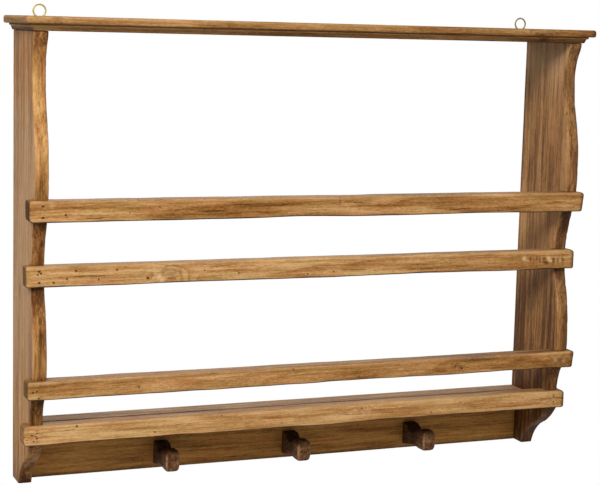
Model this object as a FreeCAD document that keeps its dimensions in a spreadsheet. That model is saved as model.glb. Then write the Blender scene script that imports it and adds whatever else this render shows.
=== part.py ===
import FreeCAD, Part
import math
import os
import Sketcher

# Wall plate rack in reclaimed pine: two shaped sides, a top board with a mitred cornice,
# four rails let into the front edges of the sides, a grooved shelf, a rail with three
# pegs under it and two screw eyes to hang it by.
#
# Frame: the origin is midway between the centres of the two screw eyes that it hangs by.
# X runs along the rack, +Y points into the wall, which is one eye_setback behind, Z is up.
# Heights below are measured up from the feet of the sides, reaches out from the wall and
# drops down from the top of the sides.

SIZES = {
    # sides
    "rack_width": 1200.0,
    "side_height": 921.0,
    "side_thickness": 28.0,
    # the waved front edge, from the top down: reach and height of each swell and waist
    "head_reach": 194.0,
    "upper_waist_reach": 173.0,
    "upper_waist_drop": 79.0,
    "upper_swell_reach": 203.0,
    "upper_swell_height": 640.0,
    "middle_waist_reach": 166.0,
    "middle_waist_height": 455.0,
    "lower_swell_reach": 193.5,
    "lower_swell_height": 268.0,
    "lower_waist_reach": 160.0,
    "lower_waist_height": 152.0,
    # share of each half wave that belongs to its swell
    "head_share": 0.2,
    "upper_swell_share_up": 0.62,
    "upper_swell_share_down": 0.55,
    "lower_swell_share_up": 0.65,
    "lower_swell_share_down": 0.6,
    # the ogee foot
    "ogee_middle_reach": 97.0,
    "ogee_middle_height": 54.0,
    "ogee_upper_radius": 150.0,
    "ogee_lower_radius": 115.0,
    "foot_reach": 57.0,
    # rails across the front
    "rail_overhang": 13.0,
    "rail_round": 4.0,
    "upper_guard_reach": 212.0,
    "upper_guard_depth": 38.0,
    "upper_guard_bottom": 555.0,
    "upper_guard_height": 44.0,
    "upper_plate_reach": 181.0,
    "upper_plate_depth": 31.0,
    "upper_plate_bottom": 424.0,
    "upper_plate_height": 44.0,
    "lower_guard_reach": 202.0,
    "lower_guard_depth": 40.0,
    "lower_guard_bottom": 205.0,
    "lower_guard_height": 38.5,
    "shelf_lip_reach": 168.0,
    "shelf_lip_depth": 38.0,
    "shelf_lip_bottom": 106.0,
    "shelf_lip_height": 41.0,
    # shelf, housed in the sides
    "shelf_thickness": 19.0,
    "housing_depth": 8.0,
    "groove_reach": 50.0,
    "groove_width": 8.0,
    "groove_depth": 3.0,
    # top board and cornice
    "top_thickness": 20.0,
    "cornice_height": 28.4,
    "cornice_projection": 20.5,
    "nose_radius": 8.1,
    "quirk_height": 1.4,
    "quirk_depth": 1.5,
    "bead_reach": 9.5,
    "bead_height": 2.6,
    "cove_radius": 7.0,
    "cornice_base": 2.5,
    "cornice_fillet": 2.5,
    # peg rail and pegs
    "peg_rail_thickness": 21.0,
    "peg_pitch": 293.5,
    "peg_shift": 5.5,
    "peg_thickness": 31.0,
    "peg_length": 97.0,
    "peg_bottom": 10.0,
    "peg_root_height": 50.5,
    "peg_root_length": 18.0,
    "neck_reach": 42.0,
    "neck_height": 37.0,
    "head_start": 66.0,
    "head_height": 50.0,
    "hollow_reach": 46.0,
    "hollow_height": 8.0,
    "head_round": 13.0,
    "neck_round": 5.0,
    "peg_edge_bevel": 3.5,
    # screw eyes
    "eye_outer_diameter": 29.0,
    "eye_wire": 3.6,
    "eye_inset": 51.0,
    "eye_setback": 8.0,
    "eye_neck": 4.0,
    "eye_screw_length": 16.0,
    # cut nails and pins, sheared from flat iron
    "nail_width": 3.2,
    "nail_tip_width": 1.8,
    "nail_thickness": 2.6,
    "nail_head_width": 5.4,
    "nail_head_height": 1.5,
    "rail_nail_length": 62.0,
    "rail_nail_spacing": 22.0,
    "board_nail_length": 50.0,
    "shelf_nail_first": 25.0,
    "shelf_nail_pitch": 32.0,
    "top_nail_first": 35.0,
    "top_nail_pitch": 65.0,
    "peg_rail_nail_first": 28.0,
    "peg_rail_nail_pitch": 48.0,
    "peg_nail_margin": 13.0,
    "pin_width": 1.6,
    "pin_length": 22.0,
    "pin_set": 9.0,
    "pin_height": 10.2,
    "front_pin_pitch": 265.0,
    "return_pin_first": 67.0,
    "return_pin_pitch": 66.0,
    "nail_clearance": 0.1,
    "eye_bore_clearance": 0.1,
}

doc = FreeCAD.newDocument("wall_plate_rack")
sheet = doc.addObject("Spreadsheet::Sheet", "sizes")
for row, (alias, size) in enumerate(SIZES.items(), start=1):
    cell = "A%d" % row
    sheet.set(cell, str(size))
    sheet.setAlias(cell, alias)
doc.recompute()

EYE_HEIGHT = ("(sizes.side_height + sizes.top_thickness + sizes.eye_neck"
              " + sizes.eye_outer_diameter / 2)")
HALF_WIDTH = "(sizes.rack_width / 2)"
INNER_HALF_WIDTH = "(sizes.rack_width / 2 - sizes.side_thickness)"
SIDE_MIDDLE = "(sizes.rack_width / 2 - sizes.side_thickness / 2)"
TOP_OF_BOARD = "(sizes.side_height + sizes.top_thickness)"
SHELF_REACH = "(sizes.shelf_lip_reach - sizes.shelf_lip_depth)"
SHELF_MIDDLE = "(sizes.shelf_lip_bottom + sizes.shelf_thickness / 2)"
RAILS = ("upper_guard", "upper_plate", "lower_guard", "shelf_lip")
ENDS = (-1, 1)
WIRE_FACETS = 8

parts = []


# ---------------------------------------------------------------- drawing helpers

def value(expression):
    """The number that an expression in the sheet's aliases gives."""
    return float(sheet.evalExpression(expression.replace("sizes.", "")))


def vector(u, v):
    return FreeCAD.Vector(value(u), value(v), 0)


def new_body(label, x="0", y="0", z="0"):
    """A body whose own frame starts at the wall, level with the feet of the sides."""
    body = doc.addObject("PartDesign::Body", label)
    body.Label = label
    body.setExpression("Placement.Base.x", x)
    body.setExpression("Placement.Base.y", "%s + sizes.eye_setback" % y)
    body.setExpression("Placement.Base.z", "%s - %s" % (z, EYE_HEIGHT))
    parts.append(body)
    return body


def new_sketch(body, name, plane, offset="0"):
    """A sketch on one of the body's planes: YZ looks along X, XZ along Y, XY along Z."""
    sketch = body.newObject("Sketcher::SketchObject", body.Label + "_" + name)
    for datum in body.Origin.OriginFeatures:
        if datum.Role == plane + "_Plane":
            sketch.AttachmentSupport = (datum, [""])
    sketch.MapMode = "FlatFace"
    sketch.setExpression("AttachmentOffset.Base.z", offset)
    return sketch


def bind(sketch, kind, *geometry, to):
    """Adds a dimension to the sketch and binds it to an expression."""
    index = sketch.addConstraint(Sketcher.Constraint(kind, *geometry, value(to)))
    sketch.setExpression("Constraints[%d]" % index, to)


def pin_point(sketch, geometry, point, u, v):
    bind(sketch, "DistanceX", -1, 1, geometry, point, to=u)
    bind(sketch, "DistanceY", -1, 1, geometry, point, to=v)


def join(sketch, first, first_point, second, second_point):
    sketch.addConstraint(Sketcher.Constraint(
        "Coincident", first, first_point, second, second_point))


def outline(sketch, corners):
    """A closed outline of straight lines through the given corners."""
    lines = []
    for here, there in zip(corners, corners[1:] + corners[:1]):
        lines.append(sketch.addGeometry(Part.LineSegment(vector(*here), vector(*there)), False))
    for line, following in zip(lines, lines[1:] + lines[:1]):
        join(sketch, line, 2, following, 1)
    for line, corner in zip(lines, corners):
        pin_point(sketch, line, 1, *corner)
    return lines


def rectangle(sketch, left, bottom, right, top):
    return outline(sketch, [(left, bottom), (right, bottom), (right, top), (left, top)])


def arc_through(start, end, radius):
    """The anticlockwise arc, under half a turn, from start to end."""
    chord = end - start
    rise = math.sqrt(radius ** 2 - (chord.Length / 2) ** 2)
    across = FreeCAD.Vector(-chord.y, chord.x, 0).normalize()
    centre = (start + end) * 0.5 + across * rise
    angles = [math.atan2(end_point.y - centre.y, end_point.x - centre.x)
              for end_point in (start, end)]
    circle = Part.Circle(centre, FreeCAD.Vector(0, 0, 1), radius)
    return Part.ArcOfCircle(circle, angles[0], angles[1])


def pinned_arc(sketch, start, end, radius):
    """An arc whose two ends and radius are bound."""
    geometry = arc_through(vector(*start), vector(*end), value(radius))
    arc = sketch.addGeometry(geometry, False)
    bind(sketch, "Radius", arc, to=radius)
    return arc


def pad(body, sketch, length, symmetric=False):
    feature = body.newObject("PartDesign::Pad", sketch.Label + "_pad")
    feature.Profile = sketch
    feature.SideType = "Symmetric" if symmetric else "One side"
    feature.setExpression("Length", length)
    doc.recompute()
    return feature


def pocket(body, sketch, depth=None, flip=False):
    """Cuts the sketch out against its normal, or along it when flipped."""
    before = body.Shape.Volume
    feature = body.newObject("PartDesign::Pocket", sketch.Label + "_pocket")
    feature.Profile = sketch
    feature.Reversed = flip
    if depth is None:
        feature.Type = "ThroughAll"
    else:
        feature.setExpression("Length", depth)
    doc.recompute()
    if not body.Shape.Volume < before:
        raise RuntimeError(feature.Label + " removes nothing")
    return feature


def nail_cuts(body, name, plane, offset, centres, across, thickness, depth=None, flip=False):
    """Oblong cuts that fit flat nails: wide along X, or along Z for nails driven along X."""
    sketch = new_sketch(body, name, plane, offset)
    half_across = "(%s + sizes.nail_clearance) / 2" % across
    half_thickness = "(%s + sizes.nail_clearance) / 2" % thickness
    reaches = (half_across, half_thickness)
    if plane == "YZ":
        reaches = (half_thickness, half_across)
    for u, v in centres:
        rectangle(sketch, "%s - %s" % (u, reaches[0]), "%s - %s" % (v, reaches[1]),
                  "%s + %s" % (u, reaches[0]), "%s + %s" % (v, reaches[1]))
    return pocket(body, sketch, depth, flip)


def shank_cuts(body, name, plane, offset, centres, depth=None, flip=False):
    return nail_cuts(body, name, plane, offset, centres, "sizes.nail_width",
                     "sizes.nail_thickness", depth, flip)


def head_cuts(body, name, plane, offset, centres, flip=False):
    return nail_cuts(body, name, plane, offset, centres, "sizes.nail_head_width",
                     "sizes.nail_thickness", "sizes.nail_head_height", flip)


def pin_cuts(body, name, plane, offset, centres, depth=None, flip=False):
    return nail_cuts(body, name, plane, offset, centres, "sizes.pin_width",
                     "sizes.pin_width", depth, flip)


def dress_edges(body, kind, size_name, size, wanted):
    """Fillets or chamfers the edges of the body's tip whose middle and direction are wanted."""
    tip = body.Tip
    names = []
    for number, edge in enumerate(tip.Shape.Edges, start=1):
        middle = edge.valueAt((edge.FirstParameter + edge.LastParameter) / 2)
        along = edge.tangentAt((edge.FirstParameter + edge.LastParameter) / 2)
        if wanted(middle, along):
            names.append("Edge%d" % number)
    name = "%s_%s%d" % (body.Label, kind, len(body.Group))
    feature = body.newObject("PartDesign::" + kind, name)
    feature.Base = (tip, names)
    feature.setExpression(size_name, size)
    doc.recompute()
    return feature


def round_over(body, radius, wanted):
    return dress_edges(body, "Fillet", "Radius", radius, wanted)


def bevel(body, width, wanted):
    return dress_edges(body, "Chamfer", "Size", width, wanted)


def runs_along(direction, axis):
    return abs(direction.dot(axis)) > 0.999


X_AXIS = FreeCAD.Vector(1, 0, 0)
Y_AXIS = FreeCAD.Vector(0, 1, 0)
Z_AXIS = FreeCAD.Vector(0, 0, 1)
TOUCH = 0.01


# ---------------------------------------------------------------- the sides

WAVES = (
    ("sizes.head_reach", "sizes.side_height", "sizes.head_share"),
    ("sizes.upper_waist_reach", "(sizes.side_height - sizes.upper_waist_drop)",
     "sizes.upper_swell_share_up"),
    ("sizes.upper_swell_reach", "sizes.upper_swell_height", "sizes.upper_swell_share_down"),
    ("sizes.middle_waist_reach", "sizes.middle_waist_height", "sizes.lower_swell_share_up"),
    ("sizes.lower_swell_reach", "sizes.lower_swell_height", "sizes.lower_swell_share_down"),
    ("sizes.lower_waist_reach", "sizes.lower_waist_height", None),
)


def wave_arc(sketch, reach, height, swell, radius, turning):
    """One arc from a swell or waist, where it runs upright, to the turning point."""
    side = 1 if swell else -1
    centre = FreeCAD.Vector(-reach + side * radius, height, 0)
    upright = math.pi if swell else 0.0
    away = math.atan2(turning.y - centre.y, turning.x - centre.x) % (2 * math.pi)
    if not swell and away > math.pi:
        away -= 2 * math.pi
    circle = Part.Circle(centre, FreeCAD.Vector(0, 0, 1), radius)
    start, end = sorted((upright, away))
    arc = sketch.addGeometry(Part.ArcOfCircle(circle, start, end), False)
    upright_point = 1 if start == upright else 2
    sketch.addConstraint(Sketcher.Constraint("Horizontal", arc, 3, arc, upright_point))
    return arc, upright_point, 3 - upright_point


def front_edge(sketch):
    """The waved edge as pairs of arcs; gives its first and last free ends."""
    joints = []
    for number, (upper, lower) in enumerate(zip(WAVES, WAVES[1:])):
        reach_a, height_a, share = upper
        reach_b, height_b, _ = lower
        upper_is_swell = number % 2 == 0
        if not upper_is_swell:
            share = "(1 - %s)" % share
        turning_reach = "(%s + %s * (%s - %s))" % (reach_a, share, reach_b, reach_a)
        turning_height = "(%s + %s * (%s - %s))" % (height_a, share, height_b, height_a)
        turning = vector("-" + turning_reach, turning_height)
        top = (value(reach_a), value(height_a))
        bottom = (value(reach_b), value(height_b))
        spread = (math.dist(top, bottom) ** 2) / (2 * abs(top[0] - bottom[0]))
        upper_radius = spread * value(share)
        lower_radius = spread * (1 - value(share))
        first, first_end, first_turn = wave_arc(
            sketch, top[0], top[1], upper_is_swell, upper_radius, turning)
        second, second_end, second_turn = wave_arc(
            sketch, bottom[0], bottom[1], not upper_is_swell, lower_radius, turning)
        sketch.addConstraint(Sketcher.Constraint(
            "Tangent", first, first_turn, second, second_turn))
        bind(sketch, "DistanceY", -1, 1, second, second_turn, to=turning_height)
        pin_point(sketch, first, first_end, "-" + reach_a, height_a)
        joints.append((first, first_end, second, second_end))
    for above, below in zip(joints, joints[1:]):
        join(sketch, above[2], above[3], below[0], below[1])
    last = joints[-1]
    pin_point(sketch, last[2], last[3], "-" + WAVES[-1][0], WAVES[-1][1])
    return joints[0][0], joints[0][1], last[2], last[3]


def side_outline(sketch):
    top_arc, top_point, waist_arc, waist_point = front_edge(sketch)
    waist = ("-sizes.lower_waist_reach", "sizes.lower_waist_height")
    brow = ("-sizes.lower_waist_reach", "sizes.shelf_lip_bottom")
    middle = ("-sizes.ogee_middle_reach", "sizes.ogee_middle_height")
    foot = ("-sizes.foot_reach", "0")
    heel = ("0", "0")
    nape = ("0", "sizes.side_height")
    head = ("-sizes.head_reach", "sizes.side_height")
    upright = sketch.addGeometry(Part.LineSegment(vector(*waist), vector(*brow)), False)
    join(sketch, waist_arc, waist_point, upright, 1)
    pin_point(sketch, upright, 2, *brow)
    swell = pinned_arc(sketch, brow, middle, "sizes.ogee_upper_radius")
    join(sketch, upright, 2, swell, 1)
    pin_point(sketch, swell, 2, *middle)
    hollow = pinned_arc(sketch, foot, middle, "sizes.ogee_lower_radius")
    join(sketch, swell, 2, hollow, 2)
    pin_point(sketch, hollow, 1, *foot)
    previous, previous_point = hollow, 1
    for start, end in ((foot, heel), (heel, nape), (nape, head)):
        line = sketch.addGeometry(Part.LineSegment(vector(*start), vector(*end)), False)
        join(sketch, previous, previous_point, line, 1)
        if end != head:
            pin_point(sketch, line, 2, *end)
        previous, previous_point = line, 2
    join(sketch, previous, previous_point, top_arc, top_point)


def rail_nail_heights(rail):
    middle = "(sizes.%s_bottom + sizes.%s_height / 2)" % (rail, rail)
    return ["(%s + %d * sizes.rail_nail_spacing / 2)" % (middle, way) for way in ENDS]


def shelf_nail_reaches():
    return ["(sizes.shelf_nail_first + %d * sizes.shelf_nail_pitch)" % n for n in range(3)]


def peg_rail_nail_heights():
    return ["(sizes.peg_rail_nail_first + %d * sizes.peg_rail_nail_pitch)" % n
            for n in range(2)]


def top_nail_reaches():
    return ["(sizes.top_nail_first + %d * sizes.top_nail_pitch)" % n for n in range(3)]


def make_side(label, end):
    """One side; end is -1 for the left and 1 for the right."""
    place = "-" + HALF_WIDTH if end < 0 else INNER_HALF_WIDTH
    inner_face = "sizes.side_thickness" if end < 0 else "0"
    outer_face = "0" if end < 0 else "sizes.side_thickness"
    body = new_body(label, x=place)
    sketch = new_sketch(body, "outline", "YZ")
    side_outline(sketch)
    pad(body, sketch, "sizes.side_thickness")

    notches = new_sketch(body, "notches", "YZ")
    for rail in RAILS:
        back = "-(sizes.%s_reach - sizes.%s_depth)" % (rail, rail)
        bottom = "sizes.%s_bottom" % rail
        top = "(sizes.%s_bottom + sizes.%s_height)" % (rail, rail)
        rectangle(notches, "-sizes.%s_reach" % rail, bottom, back, top)
    pocket(body, notches, flip=True)

    housing = new_sketch(body, "housing", "YZ", inner_face)
    rectangle(housing, "-" + SHELF_REACH, "sizes.shelf_lip_bottom", "0",
              "(sizes.shelf_lip_bottom + sizes.shelf_thickness)")
    pocket(body, housing, "sizes.housing_depth", flip=end > 0)

    for rail in RAILS:
        centres = [("sizes.side_thickness / 2", height) for height in rail_nail_heights(rail)]
        shank_cuts(body, rail + "_nail_cuts", "XZ", "sizes.%s_reach" % rail, centres,
                   "sizes.rail_nail_length + sizes.nail_clearance")

    across = [("-" + reach, SHELF_MIDDLE) for reach in shelf_nail_reaches()]
    across += [("-sizes.peg_rail_thickness / 2", height) for height in peg_rail_nail_heights()]
    shank_cuts(body, "board_nail_cuts", "YZ", inner_face, across, flip=end > 0)
    head_cuts(body, "board_nail_head_cuts", "YZ", outer_face, across, flip=end < 0)

    down = [("sizes.side_thickness / 2", "-" + reach) for reach in top_nail_reaches()]
    shank_cuts(body, "top_nail_cuts", "XY", "sizes.side_height", down,
               "sizes.board_nail_length - sizes.top_thickness + sizes.nail_clearance")
    return body


# ---------------------------------------------------------------- rails, shelf, top board

def make_rail(rail, label):
    body = new_body(label)
    sketch = new_sketch(body, "section", "YZ")
    rectangle(sketch, "-sizes.%s_reach" % rail, "sizes.%s_bottom" % rail,
              "-(sizes.%s_reach - sizes.%s_depth)" % (rail, rail),
              "(sizes.%s_bottom + sizes.%s_height)" % (rail, rail))
    pad(body, sketch, "sizes.rack_width + 2 * sizes.rail_overhang", symmetric=True)
    round_over(body, "sizes.rail_round", lambda middle, along: runs_along(along, X_AXIS))
    centres = [("%d * %s" % (end, SIDE_MIDDLE), height)
               for end in ENDS for height in rail_nail_heights(rail)]
    front = "sizes.%s_reach" % rail
    shank_cuts(body, "nail_cuts", "XZ", front, centres)
    head_cuts(body, "nail_head_cuts", "XZ", front, centres)
    return body


def make_shelf():
    body = new_body("bottom_shelf")
    sketch = new_sketch(body, "section", "YZ")
    top = "(sizes.shelf_lip_bottom + sizes.shelf_thickness)"
    back_of_groove = "-(sizes.groove_reach - sizes.groove_width / 2)"
    front_of_groove = "-(sizes.groove_reach + sizes.groove_width / 2)"
    groove_floor = "(%s - sizes.groove_depth)" % top
    outline(sketch, [
        ("-" + SHELF_REACH, "sizes.shelf_lip_bottom"), ("0", "sizes.shelf_lip_bottom"),
        ("0", top), (back_of_groove, top), (back_of_groove, groove_floor),
        (front_of_groove, groove_floor), (front_of_groove, top), ("-" + SHELF_REACH, top)])
    pad(body, sketch, "2 * (%s + sizes.housing_depth)" % INNER_HALF_WIDTH, symmetric=True)
    centres = [("-" + reach, SHELF_MIDDLE) for reach in shelf_nail_reaches()]
    depth = ("sizes.board_nail_length - sizes.side_thickness + sizes.housing_depth"
             " + sizes.nail_clearance")
    for end, name in zip(ENDS, ("left", "right")):
        face = "%d * (%s + sizes.housing_depth)" % (end, INNER_HALF_WIDTH)
        shank_cuts(body, name + "_nail_cuts", "YZ", face, centres, depth, flip=end < 0)
    return body


def pin_places_front():
    return ["%d * sizes.front_pin_pitch" % n for n in range(-2, 3)]


def pin_places_return():
    return ["(sizes.return_pin_first + %d * sizes.return_pin_pitch)" % n for n in range(2)]


PIN_LEVEL = "(sizes.side_height + sizes.pin_height)"
PIN_DEPTH = "sizes.pin_length - sizes.pin_set + sizes.nail_clearance"
EYE_PLACE = "(%s - sizes.eye_inset)" % HALF_WIDTH


def make_top_board():
    body = new_body("top_board")
    sketch = new_sketch(body, "outline", "XY", "sizes.side_height")
    rectangle(sketch, "-" + HALF_WIDTH, "-sizes.head_reach", HALF_WIDTH, "0")
    pad(body, sketch, "sizes.top_thickness")
    down = [("%d * %s" % (end, SIDE_MIDDLE), "-" + reach)
            for end in ENDS for reach in top_nail_reaches()]
    shank_cuts(body, "nail_cuts", "XY", TOP_OF_BOARD, down)
    head_cuts(body, "nail_head_cuts", "XY", TOP_OF_BOARD, down)
    eye_bores = new_sketch(body, "eye_bores", "XY", TOP_OF_BOARD)
    bore = "sizes.eye_wire + sizes.eye_bore_clearance"
    for end in ENDS:
        place = ("%d * %s" % (end, EYE_PLACE), "-sizes.eye_setback")
        circle = eye_bores.addGeometry(
            Part.Circle(vector(*place), FreeCAD.Vector(0, 0, 1), value(bore) / 2), False)
        pin_point(eye_bores, circle, 3, *place)
        bind(eye_bores, "Diameter", circle, to=bore)
    pocket(body, eye_bores, "sizes.eye_screw_length + sizes.eye_bore_clearance")
    front = [(place, PIN_LEVEL) for place in pin_places_front()]
    pin_cuts(body, "front_pin_cuts", "XZ", "sizes.head_reach", front, PIN_DEPTH)
    returns = [("-" + place, PIN_LEVEL) for place in pin_places_return()]
    for end, name in zip(ENDS, ("left", "right")):
        pin_cuts(body, name + "_pin_cuts", "YZ", "%d * %s" % (end, HALF_WIDTH), returns,
                 PIN_DEPTH, flip=end < 0)
    return body


# ---------------------------------------------------------------- the mitred cornice

def cornice_section(sketch, face, way):
    """The moulding's section: base, cove, bead and nose. face is the board's edge and way
    points outwards."""
    def corner(distance, height):
        return ("%s + %d * (%s)" % (face, way, distance), "(sizes.side_height + %s)" % height)

    nose_middle = "sizes.cornice_projection - sizes.nose_radius"
    nose_foot = "(sizes.cornice_height - sizes.nose_radius * (1 + sin(66 deg)))"
    bead_top = "(%s - sizes.quirk_height)" % nose_foot
    bead_foot = "(%s - sizes.bead_height)" % bead_top
    quirk = "sizes.bead_reach - sizes.quirk_depth"
    corners = [
        corner("0", "0"),
        corner("sizes.cornice_base", "0"),
        corner("sizes.cornice_base", "sizes.cornice_fillet"),
        corner(quirk, bead_foot),
        corner("sizes.bead_reach", bead_foot),
        corner("sizes.bead_reach", bead_top),
        corner(quirk, bead_top),
        corner(quirk, nose_foot),
        corner(nose_middle, nose_foot),
        corner(nose_middle + " + sizes.nose_radius * cos(66 deg)", "sizes.cornice_height"),
        corner("0", "sizes.cornice_height")]
    hollow, swelling = -1, 1
    arcs = {2: ("sizes.cove_radius", hollow), 8: ("sizes.nose_radius", swelling)}
    pieces = []
    for number, (here, there) in enumerate(zip(corners, corners[1:] + corners[:1])):
        ends = (1, 2)
        if number not in arcs:
            line = Part.LineSegment(vector(*here), vector(*there))
            piece = sketch.addGeometry(line, False)
        elif arcs[number][1] == way:
            piece = pinned_arc(sketch, here, there, arcs[number][0])
        else:
            piece = pinned_arc(sketch, there, here, arcs[number][0])
            ends = (2, 1)
        pieces.append((piece, ends, here))
    for (piece, ends, _), (following, next_ends, _) in zip(pieces, pieces[1:] + pieces[:1]):
        join(sketch, piece, ends[1], following, next_ends[0])
    for piece, ends, place in pieces:
        pin_point(sketch, piece, ends[0], *place)


def cut_mitre(body, name, corners):
    sketch = new_sketch(body, name, "XY", "sizes.side_height")
    outline(sketch, corners)
    return pocket(body, sketch, flip=True)


OUTER_HALF_WIDTH = "(%s + sizes.cornice_projection)" % HALF_WIDTH
OUTER_REACH = "(sizes.head_reach + sizes.cornice_projection)"


def make_cornice_front():
    body = new_body("cornice_front")
    section = new_sketch(body, "section", "YZ")
    cornice_section(section, "-sizes.head_reach", -1)
    pad(body, section, "2 * " + OUTER_HALF_WIDTH, symmetric=True)
    for end, name in zip(ENDS, ("left", "right")):
        cut_mitre(body, name + "_mitre", [
            ("%d * %s" % (end, HALF_WIDTH), "-sizes.head_reach"),
            ("%d * %s" % (end, OUTER_HALF_WIDTH), "-" + OUTER_REACH),
            ("%d * %s" % (end, OUTER_HALF_WIDTH), "-sizes.head_reach")])
    centres = [(place, PIN_LEVEL) for place in pin_places_front()]
    pin_cuts(body, "pin_cuts", "XZ", OUTER_REACH, centres)
    return body


def make_cornice_return(label, end):
    body = new_body(label)
    section = new_sketch(body, "section", "XZ")
    cornice_section(section, "%d * %s" % (end, HALF_WIDTH), end)
    pad(body, section, OUTER_REACH)
    cut_mitre(body, "mitre", [
        ("%d * %s" % (end, HALF_WIDTH), "-sizes.head_reach"),
        ("%d * %s" % (end, OUTER_HALF_WIDTH), "-" + OUTER_REACH),
        ("%d * %s" % (end, HALF_WIDTH), "-" + OUTER_REACH)])
    centres = [("-" + place, PIN_LEVEL) for place in pin_places_return()]
    pin_cuts(body, "pin_cuts", "YZ", "%d * %s" % (end, OUTER_HALF_WIDTH), centres,
             flip=end < 0)
    return body


# ---------------------------------------------------------------- peg rail and pegs

PEG_PLACES = ["(sizes.peg_shift + %d * sizes.peg_pitch)" % n for n in (-1, 0, 1)]
PEG_NAIL_HEIGHTS = [
    "(sizes.peg_bottom + sizes.peg_nail_margin)",
    "(sizes.peg_bottom + sizes.peg_root_height - sizes.peg_nail_margin)"]


def make_peg_rail():
    body = new_body("peg_rail")
    sketch = new_sketch(body, "outline", "XZ")
    rectangle(sketch, "-" + INNER_HALF_WIDTH, "0", INNER_HALF_WIDTH,
              "sizes.shelf_lip_bottom")
    pad(body, sketch, "sizes.peg_rail_thickness")
    centres = [(place, height) for place in PEG_PLACES for height in PEG_NAIL_HEIGHTS]
    shank_cuts(body, "peg_nail_cuts", "XZ", "0", centres, flip=True)
    head_cuts(body, "peg_nail_head_cuts", "XZ", "0", centres, flip=True)
    ends = [("-sizes.peg_rail_thickness / 2", height) for height in peg_rail_nail_heights()]
    for end, name in zip(ENDS, ("left", "right")):
        shank_cuts(body, name + "_nail_cuts", "YZ", "%d * %s" % (end, INNER_HALF_WIDTH), ends,
                   "sizes.board_nail_length - sizes.side_thickness + sizes.nail_clearance",
                   flip=end < 0)
    return body


def make_peg(label, place):
    """A peg sawn from board: square root, dipped neck, rounded head and bevelled edges."""
    body = new_body(label, x=place)
    sketch = new_sketch(body, "profile", "YZ")
    root = "-sizes.peg_rail_thickness"

    def corner(reach, height):
        return ("(%s - %s)" % (root, reach), "(sizes.peg_bottom + %s)" % height)

    corners = [
        corner("0", "0"),
        corner("0", "sizes.peg_root_height"),
        corner("sizes.peg_root_length", "sizes.peg_root_height"),
        corner("sizes.neck_reach", "sizes.neck_height"),
        corner("sizes.head_start", "sizes.head_height"),
        corner("sizes.peg_length", "sizes.head_height"),
        corner("sizes.peg_length", "sizes.hollow_height / 2"),
        corner("sizes.head_start", "sizes.hollow_height / 2"),
        corner("sizes.hollow_reach", "sizes.hollow_height")]
    outline(sketch, corners)
    pad(body, sketch, "sizes.peg_thickness", symmetric=True)

    def at(number):
        spot = vector(*corners[number])
        return lambda middle, along: (
            runs_along(along, X_AXIS)
            and math.hypot(middle.y - spot.x, middle.z - spot.y) < TOUCH)

    head = [at(5), at(6)]
    neck = [at(2), at(3), at(4), at(7), at(8)]
    round_over(body, "sizes.head_round", lambda *edge: any(test(*edge) for test in head))
    round_over(body, "sizes.neck_round", lambda *edge: any(test(*edge) for test in neck))
    root_face = value(root)
    bevel(body, "sizes.peg_edge_bevel",
          lambda middle, along: not runs_along(along, X_AXIS)
          and middle.y < root_face - TOUCH)
    shank_cuts(body, "nail_cuts", "XZ", "sizes.peg_rail_thickness",
               [("0", height) for height in PEG_NAIL_HEIGHTS],
               "sizes.board_nail_length - sizes.peg_rail_thickness + sizes.nail_clearance",
               flip=True)
    return body


# ---------------------------------------------------------------- screw eyes

def make_eye(label, end):
    """A wire ring on a pointed screw, turned parallel to the wall."""
    body = new_body(label, x="%d * %s" % (end, EYE_PLACE), y="-sizes.eye_setback",
                    z=TOP_OF_BOARD)
    section = new_sketch(body, "wire_section", "YZ")
    ring_middle = "sizes.eye_neck + sizes.eye_outer_diameter / 2"
    wire_middle = "(%s - (sizes.eye_outer_diameter - sizes.eye_wire) / 2)" % ring_middle
    corners = []
    for number in range(WIRE_FACETS):
        turn = 360 * (number + 0.5) / WIRE_FACETS
        corners.append(("sizes.eye_wire / 2 * cos(%s deg)" % turn,
                        "%s + sizes.eye_wire / 2 * sin(%s deg)" % (wire_middle, turn)))
    outline(section, corners)
    axle = section.addGeometry(
        Part.LineSegment(vector("-sizes.eye_wire", ring_middle),
                         vector("sizes.eye_wire", ring_middle)), True)
    pin_point(section, axle, 1, "-sizes.eye_wire", ring_middle)
    pin_point(section, axle, 2, "sizes.eye_wire", ring_middle)
    ring = body.newObject("PartDesign::Revolution", label + "_ring")
    ring.Profile = section
    ring.ReferenceAxis = (section, ["Axis0"])
    ring.Angle = 360
    doc.recompute()

    profile = new_sketch(body, "screw_profile", "XZ")
    radius = "sizes.eye_wire / 2"
    shoulder = "-(sizes.eye_screw_length - sizes.eye_wire)"
    outline(profile, [("0", wire_middle), (radius, wire_middle), (radius, shoulder),
                      ("0", "-sizes.eye_screw_length")])
    screw = body.newObject("PartDesign::Revolution", label + "_screw")
    screw.Profile = profile
    screw.ReferenceAxis = (profile, ["V_Axis"])
    screw.Angle = 360
    doc.recompute()
    return body


# ---------------------------------------------------------------- nails and pins

def flat_nail(label, profile, thickness):
    """A nail sheared from flat iron, its head at the top and its point down."""
    body = doc.addObject("PartDesign::Body", label)
    sketch = new_sketch(body, "profile", "XZ")
    outline(sketch, profile)
    pad(body, sketch, thickness, symmetric=True)
    return body


def cut_nail(label, length):
    def point(way, width, depth):
        return ("%d * sizes.%s / 2" % (way, width), "-" + depth)

    head = "sizes.nail_head_height"
    right = [point(1, "nail_head_width", "0"), point(1, "nail_head_width", head),
             point(1, "nail_width", head), point(1, "nail_tip_width", length)]
    left = [point(-1, "nail_tip_width", length), point(-1, "nail_width", head),
            point(-1, "nail_head_width", head), point(-1, "nail_head_width", "0")]
    return flat_nail(label, right + left, "sizes.nail_thickness")


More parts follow.
